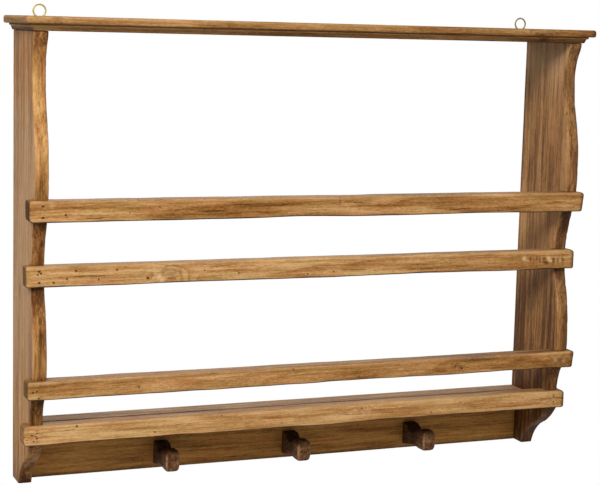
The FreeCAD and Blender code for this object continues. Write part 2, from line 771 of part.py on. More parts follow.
def panel_pin(label):
    half = "sizes.pin_width / 2"
    shoulder = "-(sizes.pin_length - sizes.pin_width)"
    return flat_nail(label, [
        (half, "0"), (half, shoulder), ("0", "-sizes.pin_length"),
        ("-" + half, shoulder), ("-" + half, "0")], "sizes.pin_width")


def fastener_group(label, master, places):
    """Copies of one fastener, each with its head at a place and its point along a way."""
    copies = []
    for (x, y, z), way in places:
        copy = master.Shape.copy()
        spot = FreeCAD.Vector(value(x), value("%s + sizes.eye_setback" % y),
                              value("%s - %s" % (z, EYE_HEIGHT)))
        copy.Placement = FreeCAD.Placement(spot, FreeCAD.Rotation(-Z_AXIS, way))
        copies.append(copy)
    group = doc.addObject("Part::Feature", label)
    group.Label = label
    group.Shape = Part.makeCompound(copies)
    parts.append(group)
    return group


def make_fasteners():
    rail_nail = cut_nail("rail_nail", "sizes.rail_nail_length")
    board_nail = cut_nail("board_nail", "sizes.board_nail_length")
    pin = panel_pin("panel_pin")

    fastener_group("rail_nails", rail_nail, [
        (("%d * %s" % (end, SIDE_MIDDLE), "-sizes.%s_reach" % rail, height), Y_AXIS)
        for rail in RAILS for end in ENDS for height in rail_nail_heights(rail)])
    fastener_group("shelf_nails", board_nail, [
        (("%d * %s" % (end, HALF_WIDTH), "-" + reach, SHELF_MIDDLE), X_AXIS * -end)
        for end in ENDS for reach in shelf_nail_reaches()])
    fastener_group("peg_rail_nails", board_nail, [
        (("%d * %s" % (end, HALF_WIDTH), "-sizes.peg_rail_thickness / 2", height),
         X_AXIS * -end)
        for end in ENDS for height in peg_rail_nail_heights()])
    fastener_group("top_board_nails", board_nail, [
        (("%d * %s" % (end, SIDE_MIDDLE), "-" + reach, TOP_OF_BOARD), -Z_AXIS)
        for end in ENDS for reach in top_nail_reaches()])
    front = "-(sizes.head_reach + sizes.pin_set)"
    outer = "(%s + sizes.pin_set)" % HALF_WIDTH
    pins = [((place, front, PIN_LEVEL), Y_AXIS) for place in pin_places_front()]
    pins += [(("%d * %s" % (end, outer), "-" + place, PIN_LEVEL), X_AXIS * -end)
             for end in ENDS for place in pin_places_return()]
    fastener_group("cornice_pins", pin, pins)
    fastener_group("peg_nails", board_nail, [
        ((place, "0", height), -Y_AXIS)
        for place in PEG_PLACES for height in PEG_NAIL_HEIGHTS])


# ---------------------------------------------------------------- the whole rack

make_side("left_side", -1)
make_side("right_side", 1)
make_rail("upper_guard", "upper_guard_rail")
make_rail("upper_plate", "upper_plate_rail")
make_rail("lower_guard", "lower_guard_rail")
make_rail("shelf_lip", "shelf_lip_rail")
make_shelf()
make_top_board()
make_cornice_front()
make_cornice_return("cornice_left", -1)
make_cornice_return("cornice_right", 1)
make_peg_rail()
for peg_label, peg_place in zip(("left_peg", "middle_peg", "right_peg"), PEG_PLACES):
    make_peg(peg_label, peg_place)
make_eye("left_screw_eye", -1)
make_eye("right_screw_eye", 1)
make_fasteners()
doc.recompute()

for item in doc.Objects:
    if "Invalid" in item.State or "Error" in item.State:
        raise RuntimeError("%s did not build: %s" % (item.Label, item.State))
for item in parts:
    if item.Shape.isNull() or not item.Shape.isValid():
        raise RuntimeError("%s has no sound shape" % item.Label)

os.makedirs("parts", exist_ok=True)
for item in parts:
    item.Shape.exportStep("parts/%s.step" % item.Label)
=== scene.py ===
import math

import bmesh
import bpy
import numpy as np
from mathutils import Matrix, Vector


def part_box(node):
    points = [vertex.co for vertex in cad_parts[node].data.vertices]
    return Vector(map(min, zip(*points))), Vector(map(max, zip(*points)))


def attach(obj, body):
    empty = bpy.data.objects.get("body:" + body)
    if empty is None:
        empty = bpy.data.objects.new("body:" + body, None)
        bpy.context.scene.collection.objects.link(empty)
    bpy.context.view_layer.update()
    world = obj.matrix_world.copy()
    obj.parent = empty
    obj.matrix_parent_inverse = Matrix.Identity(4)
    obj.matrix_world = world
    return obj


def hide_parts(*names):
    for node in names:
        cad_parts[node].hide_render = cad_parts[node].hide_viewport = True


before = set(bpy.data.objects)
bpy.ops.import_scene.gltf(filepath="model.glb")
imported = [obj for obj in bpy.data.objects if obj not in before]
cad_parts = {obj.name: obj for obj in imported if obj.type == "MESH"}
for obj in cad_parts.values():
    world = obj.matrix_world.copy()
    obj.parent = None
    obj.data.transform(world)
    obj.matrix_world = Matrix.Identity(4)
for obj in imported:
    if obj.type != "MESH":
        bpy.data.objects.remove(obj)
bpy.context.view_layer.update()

# Lengths are in millimetres in the row frame until a mesh is made, which is in metres.
# A height is measured up from the feet of the sides, a reach out from the wall.
MM = 0.001
FEET = -959.5
WALL = 8.0
HALF_WIDTH = 600.0
SIDE_THICKNESS = 28.0
SIDE_HEIGHT = 921.0
AXES = {"x": (0, 1, 2), "y": (1, 0, 2), "z": (2, 0, 1)}


# ---------------------------------------------------------------- seeded unevenness

WAVES = 14


def ripples(points, wavelength, seed, axis=0, stretch=1.0):
    """Smooth unevenness, about -1 to 1, drawn out along one axis by a factor."""
    source = np.random.default_rng(seed)
    ways = source.normal(size=(WAVES, 3))
    ways /= np.linalg.norm(ways, axis=1, keepdims=True)
    lengths = wavelength * source.uniform(0.6, 1.6, (WAVES, 1))
    phases = source.uniform(0, 2 * math.pi, WAVES)
    places = np.array(points, dtype=float)
    places[:, axis] /= stretch
    waves = np.sin(places @ (ways * 2 * math.pi / lengths).T + phases)
    return np.clip(waves.mean(axis=1) * 2.2, -1, 1)


def drift(along, wavelength, seed):
    """The same along one line only."""
    points = np.zeros((len(along), 3))
    points[:, 0] = along
    return ripples(points, wavelength, seed)


def fall_off(distance, size):
    """1 at no distance, easing to 0 well past the size."""
    return np.exp(-(distance / size) ** 2)


def ramp_up(values, low, high):
    """0 below low, 1 above high and smooth between."""
    share = np.clip((values - low) / (high - low), 0, 1)
    return share * share * (3 - 2 * share)


# ---------------------------------------------------------------- meshes

# Steps round a corner of a section and over the rounding of an end, and the rings on the end.
CORNER_STEPS = 5
END_STEPS = 4
CAP_SHARES = (0.7, 0.35)


def rounded_rings(low_u, high_u, low_v, high_v, radii, steps):
    """Rings round a bar's section at every station: the same number of points in each."""
    signs = ((1, 1), (-1, 1), (-1, -1), (1, -1))
    corners = ((low_u, low_v), (high_u, low_v), (high_u, high_v), (low_u, high_v))
    arcs = []
    for number, ((u, v), (way_u, way_v), radius) in enumerate(zip(corners, signs, radii)):
        arc = []
        for step in range(CORNER_STEPS + 1):
            angle = math.radians(180 + 90 * number + 90 * step / CORNER_STEPS)
            arc.append((u + radius * (way_u + math.cos(angle)),
                        v + radius * (way_v + math.sin(angle))))
        arcs.append(arc)
    columns = []
    for number, arc in enumerate(arcs):
        columns += arc
        following = arcs[(number + 1) % 4][0]
        count = steps[number]
        for step in range(1, count):
            share = step / count
            columns.append(((1 - share) * arc[-1][0] + share * following[0],
                            (1 - share) * arc[-1][1] + share * following[1]))
    return np.stack([np.stack(np.broadcast_arrays(*column), -1) for column in columns], 1)


def stations(start, end, spacing, end_round):
    """Places along a bar and how far its section draws in there, to round its ends."""
    turns = np.radians(np.linspace(0, 90, END_STEPS + 1))
    offsets = end_round * (1 - np.cos(turns))
    insets = end_round * (1 - np.sin(turns))
    count = max(2, int((end - start - 2 * end_round) / spacing))
    middle = np.linspace(start + end_round, end - end_round, count + 1)[1:-1]
    along = np.concatenate([start + offsets, middle, (end - offsets)[::-1]])
    inset = np.concatenate([insets, np.zeros(len(middle)), insets[::-1]])
    return along, inset


def ring_faces(rows, size):
    """The faces between the rings of a skin, row by row."""
    return [[row * size + side, row * size + (side + 1) % size,
             (row + 1) * size + (side + 1) % size, (row + 1) * size + side]
            for row in range(rows - 1) for side in range(size)]


def sweep(along, rings, axis):
    """Points and faces of a closed skin through the rings; along is a place for each."""
    count, size = rings.shape[:2]
    order = AXES[axis]
    points = np.zeros((count, size, 3))
    points[..., order[0]] = along if np.ndim(along) == 2 else along[:, None]
    points[..., order[1]] = rings[..., 0]
    points[..., order[2]] = rings[..., 1]
    layers = [points[0] * share + points[0].mean(0) * (1 - share) for share in CAP_SHARES[::-1]]
    layers += list(points)
    layers += [points[-1] * share + points[-1].mean(0) * (1 - share) for share in CAP_SHARES]
    skin = np.concatenate(layers + [points[0].mean(0)[None], points[-1].mean(0)[None]])
    rows = len(layers)
    last_ring = (rows - 1) * size
    edges = [(side, (side + 1) % size) for side in range(size)]
    faces = ring_faces(rows, size)
    faces += [[rows * size, b, a] for a, b in edges]
    faces += [[rows * size + 1, last_ring + a, last_ring + b] for a, b in edges]
    return skin, faces


def make_mesh(name, points, faces):
    """An object whose faces all look outwards."""
    mesh = bpy.data.meshes.new(name)
    mesh.from_pydata((np.asarray(points) * MM).tolist(), [], faces)
    shell = bmesh.new()
    shell.from_mesh(mesh)
    bmesh.ops.recalc_face_normals(shell, faces=shell.faces)
    shell.to_mesh(mesh)
    shell.free()
    piece = bpy.data.objects.new(name, mesh)
    bpy.context.scene.collection.objects.link(piece)
    return piece


def places(mesh):
    flat = np.zeros(len(mesh.vertices) * 3)
    mesh.vertices.foreach_get("co", flat)
    return flat.reshape(-1, 3) / MM


def directions(mesh):
    flat = np.zeros(len(mesh.vertices) * 3)
    mesh.vertex_normals.foreach_get("vector", flat)
    return flat.reshape(-1, 3)


def move_to(mesh, points):
    mesh.vertices.foreach_set("co", (points * MM).ravel())
    mesh.update()


def weather(piece, axis, seed, depth, dents=()):
    """Sinks the skin a little and unevenly, more along the grain than across, and dents it."""
    mesh = piece.data
    points = places(mesh)
    order = AXES[axis][0]
    broad = ripples(points, 28, seed, order, 4)
    fine = ripples(points, 7, seed + 1, order, 6)
    sunk = depth * (0.5 + 0.32 * broad + 0.18 * fine)
    for spot, size, deep in dents:
        away = np.linalg.norm(points - np.array(spot), axis=1)
        sunk += deep * fall_off(away, size)
    move_to(mesh, points - directions(mesh) * sunk[:, None])


def settle(piece):
    """Applies the modifiers of a piece to its mesh."""
    graph = bpy.context.evaluated_depsgraph_get()
    finished = bpy.data.meshes.new_from_object(piece.evaluated_get(graph))
    piece.modifiers.clear()
    piece.data = finished


def merged(shapes):
    """Several closed shapes as one list of points and one of faces."""
    points, faces = [], []
    for shape_points, shape_faces in shapes:
        base = len(points)
        points += list(shape_points)
        faces += [[base + corner for corner in face] for face in shape_faces]
    return points, faces


def carve(piece, cutters):
    """Cuts closed shapes, which stay clear of each other, out of a piece."""
    tool = make_mesh("cutter", *merged(cutters))
    cut = piece.modifiers.new("carve", "BOOLEAN")
    cut.operation = "DIFFERENCE"
    cut.solver = "EXACT"
    cut.object = tool
    settle(piece)
    bpy.data.objects.remove(tool)


def block(low, high):
    """A closed box, to cut with."""
    corners = [(x, y, z) for x in (low[0], high[0]) for y in (low[1], high[1])
               for z in (low[2], high[2])]
    sides = [[0, 1, 3, 2], [4, 6, 7, 5], [0, 4, 5, 1], [2, 3, 7, 6], [0, 2, 6, 4], [1, 5, 7, 3]]
    return corners, sides


# How far a cutter starts above the face that it cuts.
ABOVE = 1.5
HOLE_SIDES = 9


def hole(spot, way, radius, depth, seed):
    """A slightly ragged round hole that narrows downwards, to cut with."""
    source = np.random.default_rng(seed)
    spot, way = Vector(spot), Vector(way).normalized()
    across = way.orthogonal().normalized()
    other = way.cross(across)
    ragged = source.uniform(0.82, 1.16, HOLE_SIDES)
    points = []
    for level, share in ((-ABOVE, 1.0), (depth * 0.6, 0.9), (depth, 0.55)):
        for number in range(HOLE_SIDES):
            turn = 2 * math.pi * number / HOLE_SIDES
            out = radius * share * ragged[number]
            points.append(spot + way * level
                          + (across * math.cos(turn) + other * math.sin(turn)) * out)
    caps = [list(range(HOLE_SIDES)), list(range(2 * HOLE_SIDES, 3 * HOLE_SIDES))]
    return points, caps + ring_faces(3, HOLE_SIDES)


def crack(path, way, width, depth):
    """A split along a path on a surface: widest in its middle, closed at both ends."""
    way = np.array(way, dtype=float)
    path = np.array(path, dtype=float)
    count = len(path)
    points = []
    for number, spot in enumerate(path):
        ahead = path[min(number + 1, count - 1)] - path[max(number - 1, 0)]
        across = np.cross(way, ahead)
        across /= np.linalg.norm(across)
        open_share = math.sin(math.pi * (number + 0.5) / count)
        half = width / 2 * (0.25 + 0.75 * open_share)
        deep = depth * (0.4 + 0.6 * open_share)
        points += [spot - way * ABOVE - across * half * 1.2,
                   spot - way * ABOVE + across * half * 1.2,
                   spot + way * deep + across * half * 0.2,
                   spot + way * deep - across * half * 0.2]
    caps = [[0, 1, 2, 3], [count * 4 - 4 + side for side in (3, 2, 1, 0)]]
    return points, ring_faces(count, 4) + caps


def paint(piece, **fields):
    """Stores a number for each vertex under each name; what isn't stored counts as 0."""
    for name, numbers in fields.items():
        layer = piece.data.attributes.new(name, "FLOAT", "POINT")
        layer.data.foreach_set("value", np.clip(numbers, -9, 9).astype(np.float32))


def dress(piece, material, slot, *nodes):
    """Shades a finished mesh and ties it to the frame."""
    mesh = piece.data
    mesh.polygons.foreach_set("use_smooth", [True] * len(mesh.polygons))
    mesh.set_sharp_from_angle(angle=math.radians(38))
    mesh.materials.clear()
    mesh.materials.append(material)
    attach(piece, "root")
    if nodes:
        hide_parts(*nodes)
    return piece


# ---------------------------------------------------------------- materials

def colour(red, green, blue):
    """A colour as it looks on screen, from 0 to 255, in the form that a shader takes."""
    parts = []
    for part in (red, green, blue):
        part /= 255
        parts.append(part / 12.92 if part <= 0.04045 else ((part + 0.055) / 1.055) ** 2.4)
    return (*parts, 1.0)


class Graph:
    """The nodes of a material or a world, joined as they are made."""

    def __init__(self, owner):
        owner.use_nodes = True
        self.owner = owner
        self.nodes = owner.node_tree.nodes
        self.links = owner.node_tree.links
        self.shader = self.nodes.get("Principled BSDF")

    def object_place(self):
        return self.nodes.new("ShaderNodeTexCoord").outputs["Object"]

    def feed(self, socket, source):
        if isinstance(source, bpy.types.NodeSocket):
            self.links.new(source, socket)
        elif source is not None:
            socket.default_value = source

    def calculate(self, operation, first, second=None, third=None):
        node = self.nodes.new("ShaderNodeMath")
        node.operation = operation
        for socket, source in zip(node.inputs, (first, second, third)):
            self.feed(socket, source)
        return node.outputs[0]

    def vector(self, operation, first, second=None, scale=None):
        node = self.nodes.new("ShaderNodeVectorMath")
        node.operation = operation
        self.feed(node.inputs[0], first)
        self.feed(node.inputs[1], second)
        if scale is not None:
            self.feed(node.inputs["Scale"], scale)
        return node.outputs["Value" if operation == "LENGTH" else "Vector"]

    def noise(self, place, detail=2.0, roughness=0.5, output=0):
        node = self.nodes.new("ShaderNodeTexNoise")
        self.feed(node.inputs["Vector"], place)
        node.inputs["Scale"].default_value = 1.0
        node.inputs["Detail"].default_value = detail
        node.inputs["Roughness"].default_value = roughness
        return node.outputs[output]

    def ramp(self, factor, *stops):
        """A curve through (place, height) or (place, colour) pairs."""
        node = self.nodes.new("ShaderNodeValToRGB")
        self.feed(node.inputs[0], factor)
        elements = node.color_ramp.elements
        while len(elements) < len(stops):
            elements.new(0.5)
        for element, (position, level) in zip(elements, stops):
            element.position = position
            element.color = level if isinstance(level, tuple) else (level, level, level, 1.0)
        return node.outputs[0]

    def mix(self, factor, first, second):
        node = self.nodes.new("ShaderNodeMix")
        node.data_type = "RGBA"
        self.feed(node.inputs["Factor"], factor)
        self.feed(node.inputs[6], first)
        self.feed(node.inputs[7], second)
        return node.outputs[2]

    def field(self, name):
        node = self.nodes.new("ShaderNodeAttribute")
        node.attribute_name = name
        return node.outputs["Fac"]

    def bump(self, height, strength, distance):
        node = self.nodes.new("ShaderNodeBump")
        node.inputs["Strength"].default_value = strength
        node.inputs["Distance"].default_value = distance
        self.feed(node.inputs["Height"], height)
        self.feed(self.shader.inputs["Normal"], node.outputs[0])


SPECULAR = 0.1
# Where on the scale of depth the light, middle, dark and deepest colours of a wood lie.
STOPS = (0.0, 0.36, 0.72, 1.0)
# What the wood's colour is multiplied by where it runs olive and where it runs red.
OLIVE = (0.99, 1.03, 0.96, 1.0)
RUSSET = (1.04, 0.95, 0.95, 1.0)


def pine(name, grain, pith, look, seed, ring, slope):
    """Old waxed pine as a solid: growth rings round a pith, streaks, flecks, stains and wear.

    The pith is where the tree's middle passes, in mm across the grain, and slope is how
    far it leans per unit along it. A growth ring is that many mm wide. look holds the colours
    and how strong each part is. Besides real dirt and wear, the mesh's numbers paint shade
    and highlights into the colour.
    """
    graph = Graph(bpy.data.materials.new(name))
    along, first, second = AXES[grain]
    place = graph.object_place()
    split = graph.nodes.new("ShaderNodeSeparateXYZ")
    graph.feed(split.inputs[0], place)

    def spots(length, width, shift, detail=3.0, output=0):
        """Noise whose spots are about that many mm along the grain and across it."""
        scales = [1 / (width * MM)] * 3
        scales[along] = 1 / (length * MM)
        moved = graph.vector("ADD", place, (seed * 0.37 + shift, seed * 0.91, seed * 0.53))
        return graph.noise(graph.vector("MULTIPLY", moved, tuple(scales)), detail, 0.6, output)

    mask = [1.0, 1.0, 1.0]
    mask[along] = 0.0
    lean, centre = [0.0] * 3, [0.0] * 3
    lean[first], lean[second] = slope
    centre[first], centre[second] = -pith[0] * MM, -pith[1] * MM
    wander = graph.vector("SUBTRACT", spots(400, 75, 0.1, 2, 1), (0.5, 0.5, 0.5))
    wander = graph.vector("MULTIPLY", wander, tuple(0.02 * part for part in mask))
    across = graph.vector("MULTIPLY", place, tuple(mask))
    across = graph.vector("ADD", across, tuple(centre))
    across = graph.vector("ADD", across,
                          graph.vector("SCALE", tuple(lean), None, split.outputs[along]))
    across = graph.vector("ADD", across, wander)
    phase = graph.calculate("DIVIDE", graph.vector("LENGTH", across), ring * MM)
    phase = graph.calculate("ADD", phase, graph.field("swirl"))
    late = graph.ramp(graph.calculate("FRACT", phase),
                      (0.0, 0.0), (0.4, 0.12), (0.76, 0.7), (0.88, 1.0), (1.0, 0.0))
    uneven = graph.noise(graph.vector("SCALE", (0.31, 0.17, 0.23), None, phase), 1)
    late = graph.calculate("MULTIPLY", late, graph.ramp(uneven, (0.3, 0.25), (0.72, 1.0)))

    fleck = spots(*look["fleck_size"], 0.2)
    thread = graph.ramp(spots(*look["thread_size"], 0.8, 2.0), (0.5, 0.0), (0.72, 1.0))
    parts = ((late, look["rings"], 0.25),
             (thread, look["threads"], 0.2),
             (spots(5, 2.2, 0.9, 1.0), look["specks"], 0.5),
             (spots(*look["streak_size"], 0.3), look["streaks"], 0.5),
             (fleck, look["flecks"], 0.5),
             (spots(*look["stain_size"], 0.4), look["stains"], 0.5))
    depth = graph.calculate("ADD", graph.field("shade"),
                            STOPS[1] - sum(strength * middle for _, strength, middle in parts))
    for part, strength, _ in parts:
        depth = graph.calculate("MULTIPLY_ADD", part, strength, depth)
    curl = graph.calculate("MULTIPLY", graph.field("curl"), late)
    depth = graph.calculate("MULTIPLY_ADD", curl, 0.5, depth)
    tone = graph.mix(graph.field("tint"), graph.ramp(depth, *look["body"]),
                     graph.ramp(depth, *look["edge"]))
    warmth = graph.ramp(spots(*look["hue_size"], 0.6), (0.36, 0.0), (0.64, 1.0))
    tone = graph.vector("MULTIPLY", tone, graph.mix(warmth, OLIVE, RUSSET))
    pores = graph.ramp(spots(11, 1.1, 0.5, 1.0), (0.6, 0.0), (0.72, 1.0))
    tone = graph.vector("SCALE", tone, None, graph.calculate("MULTIPLY_ADD", pores, -0.3, 1.0))
    # Lightened towards the pale worn colour: real wear, and painted highlights where the mesh
    # asks for them.
    worn = graph.calculate("MULTIPLY", graph.field("wear"),
                           graph.ramp(fleck, (0.36, 0.05), (0.62, 1.0)))
    tone = graph.mix(worn, tone, look["worn"])
    tone = graph.mix(graph.field("knot"), tone, look["knot"])
    # Darkened towards the dirt colour: real dirt and end grain, and painted shade where the mesh
    # asks for it.
    dirt_and_shade_share = graph.calculate("MULTIPLY", graph.field("grime"),
                           graph.calculate("MULTIPLY_ADD", fleck, 0.9, 0.55))
    tone = graph.mix(graph.calculate("MINIMUM", dirt_and_shade_share, 1.0), tone, look["grime"])
    tone = graph.mix(graph.field("raw"), tone, look["raw"])
    graph.feed(graph.shader.inputs["Base Color"], tone)

    rough = graph.calculate("MULTIPLY_ADD", fleck, 0.3, 0.42)
    rough = graph.calculate("MULTIPLY_ADD", graph.field("raw"), 0.25, rough)
    rough = graph.calculate("MULTIPLY_ADD", graph.field("grime"), 0.3, rough)
    graph.feed(graph.shader.inputs["Roughness"], rough)
    graph.shader.inputs["Specular IOR Level"].default_value = SPECULAR
    relief = graph.calculate("MULTIPLY_ADD", late, 0.4, fleck)
    relief = graph.calculate("MULTIPLY_ADD", pores, -0.7, relief)
    graph.bump(relief, 0.5, 0.0005)
    return graph.owner


def metal(name, bright, dull, metallic, roughness, grain):
    """Brass or iron, dulled in patches."""
    graph = Graph(bpy.data.materials.new(name))
    place = graph.object_place()
    patch = graph.noise(graph.vector("SCALE", place, None, grain), 4, 0.65)
    fine = graph.noise(graph.vector("SCALE", place, None, grain * 9), 2, 0.5)
    tone = graph.mix(graph.ramp(patch, (0.4, 0.0), (0.65, 1.0)), bright, dull)
    graph.feed(graph.shader.inputs["Base Color"], tone)
    graph.feed(graph.shader.inputs["Roughness"],
               graph.calculate("MULTIPLY_ADD", patch, 0.3, roughness))
    graph.shader.inputs["Metallic"].default_value = metallic
    graph.bump(fine, 0.3, 0.0002)
    return graph.owner


# How strong each part of a wood's figure is, the size of its spots in mm along the grain and
# across it, and the colours of dirt and painted shade, of bare wood and of knots.
FIGURE = dict(rings=0.22, threads=0.2, streaks=1.0, flecks=0.62, stains=1.15, specks=0.45,
              thread_size=(80, 1.9), streak_size=(200, 6), fleck_size=(14, 2.4),
              stain_size=(160, 24), hue_size=(110, 12), grime=(52, 29, 12), raw=(238, 208, 164),
              knot=(96, 56, 28))


def palette(body, edge, worn, **changes):
    """A wood's look: its body and edge colours from light to deep, and its figure."""
    look = {**FIGURE, **changes, "worn": worn}
    for part in ("worn", "grime", "raw", "knot"):
        look[part] = colour(*look[part])
    for part, shades in (("body", body), ("edge", edge)):
        look[part] = tuple((place, colour(*shade)) for place, shade in zip(STOPS, shades))
    return look


RAIL_LOOK = palette(((212, 170, 118), (175, 129, 76), (133, 87, 38), (84, 50, 19)),
                    ((176, 136, 88), (140, 102, 60), (100, 68, 37), (62, 40, 20)),
                    (226, 186, 134))
SIDE_LOOK = palette(((200, 165, 129), (174, 135, 95), (120, 87, 57), (74, 50, 31)),
                    ((218, 172, 114), (178, 128, 74), (113, 72, 34), (63, 36, 13)),
                    (214, 170, 120), rings=0.12, threads=0.24, streaks=1.1, flecks=0.6,
                    stains=0.55, specks=0.3, thread_size=(160, 2.8), streak_size=(420, 13),
                    fleck_size=(30, 3.6), stain_size=(170, 40), hue_size=(300, 18))
TOP_LOOK = palette(((186, 144, 98), (156, 116, 74), (110, 76, 42), (70, 46, 24)),
                   ((174, 138, 98), (142, 108, 72), (100, 72, 44), (60, 42, 24)),
                   (206, 166, 120))
PEG_RAIL_LOOK = palette(((204, 148, 80), (172, 120, 60), (120, 76, 31), (68, 40, 14)),
                        ((166, 120, 70), (138, 96, 52), (96, 60, 28), (58, 35, 14)),
                        (176, 130, 78), flecks=0.7, streaks=0.9, specks=0.4)
PEG_LOOK = palette(((122, 86, 54), (88, 58, 34), (56, 34, 17), (34, 19, 8)),
                   ((148, 106, 74), (102, 68, 44), (65, 40, 23), (38, 22, 11)),
                   (198, 154, 118), flecks=0.6, threads=0.15, stains=1.5, specks=0.3,
                   streak_size=(40, 5), fleck_size=(10, 2.4), stain_size=(22, 9),
                   hue_size=(30, 10), grime=(32, 17, 7))

IRON = metal("old_iron", colour(62, 46, 36), colour(38, 26, 20), 0.35, 0.55, 700)
BRIGHT_BRASS = metal("bright_brass", colour(206, 184, 104), colour(168, 146, 78), 0.7, 0.3, 260)
DULL_BRASS = metal("dull_brass", colour(150, 142, 88), colour(112, 102, 62), 0.6, 0.42, 260)


# ---------------------------------------------------------------- rails

def level_of(height):
    return height + FEET


def face_of(reach):
    return WALL - reach


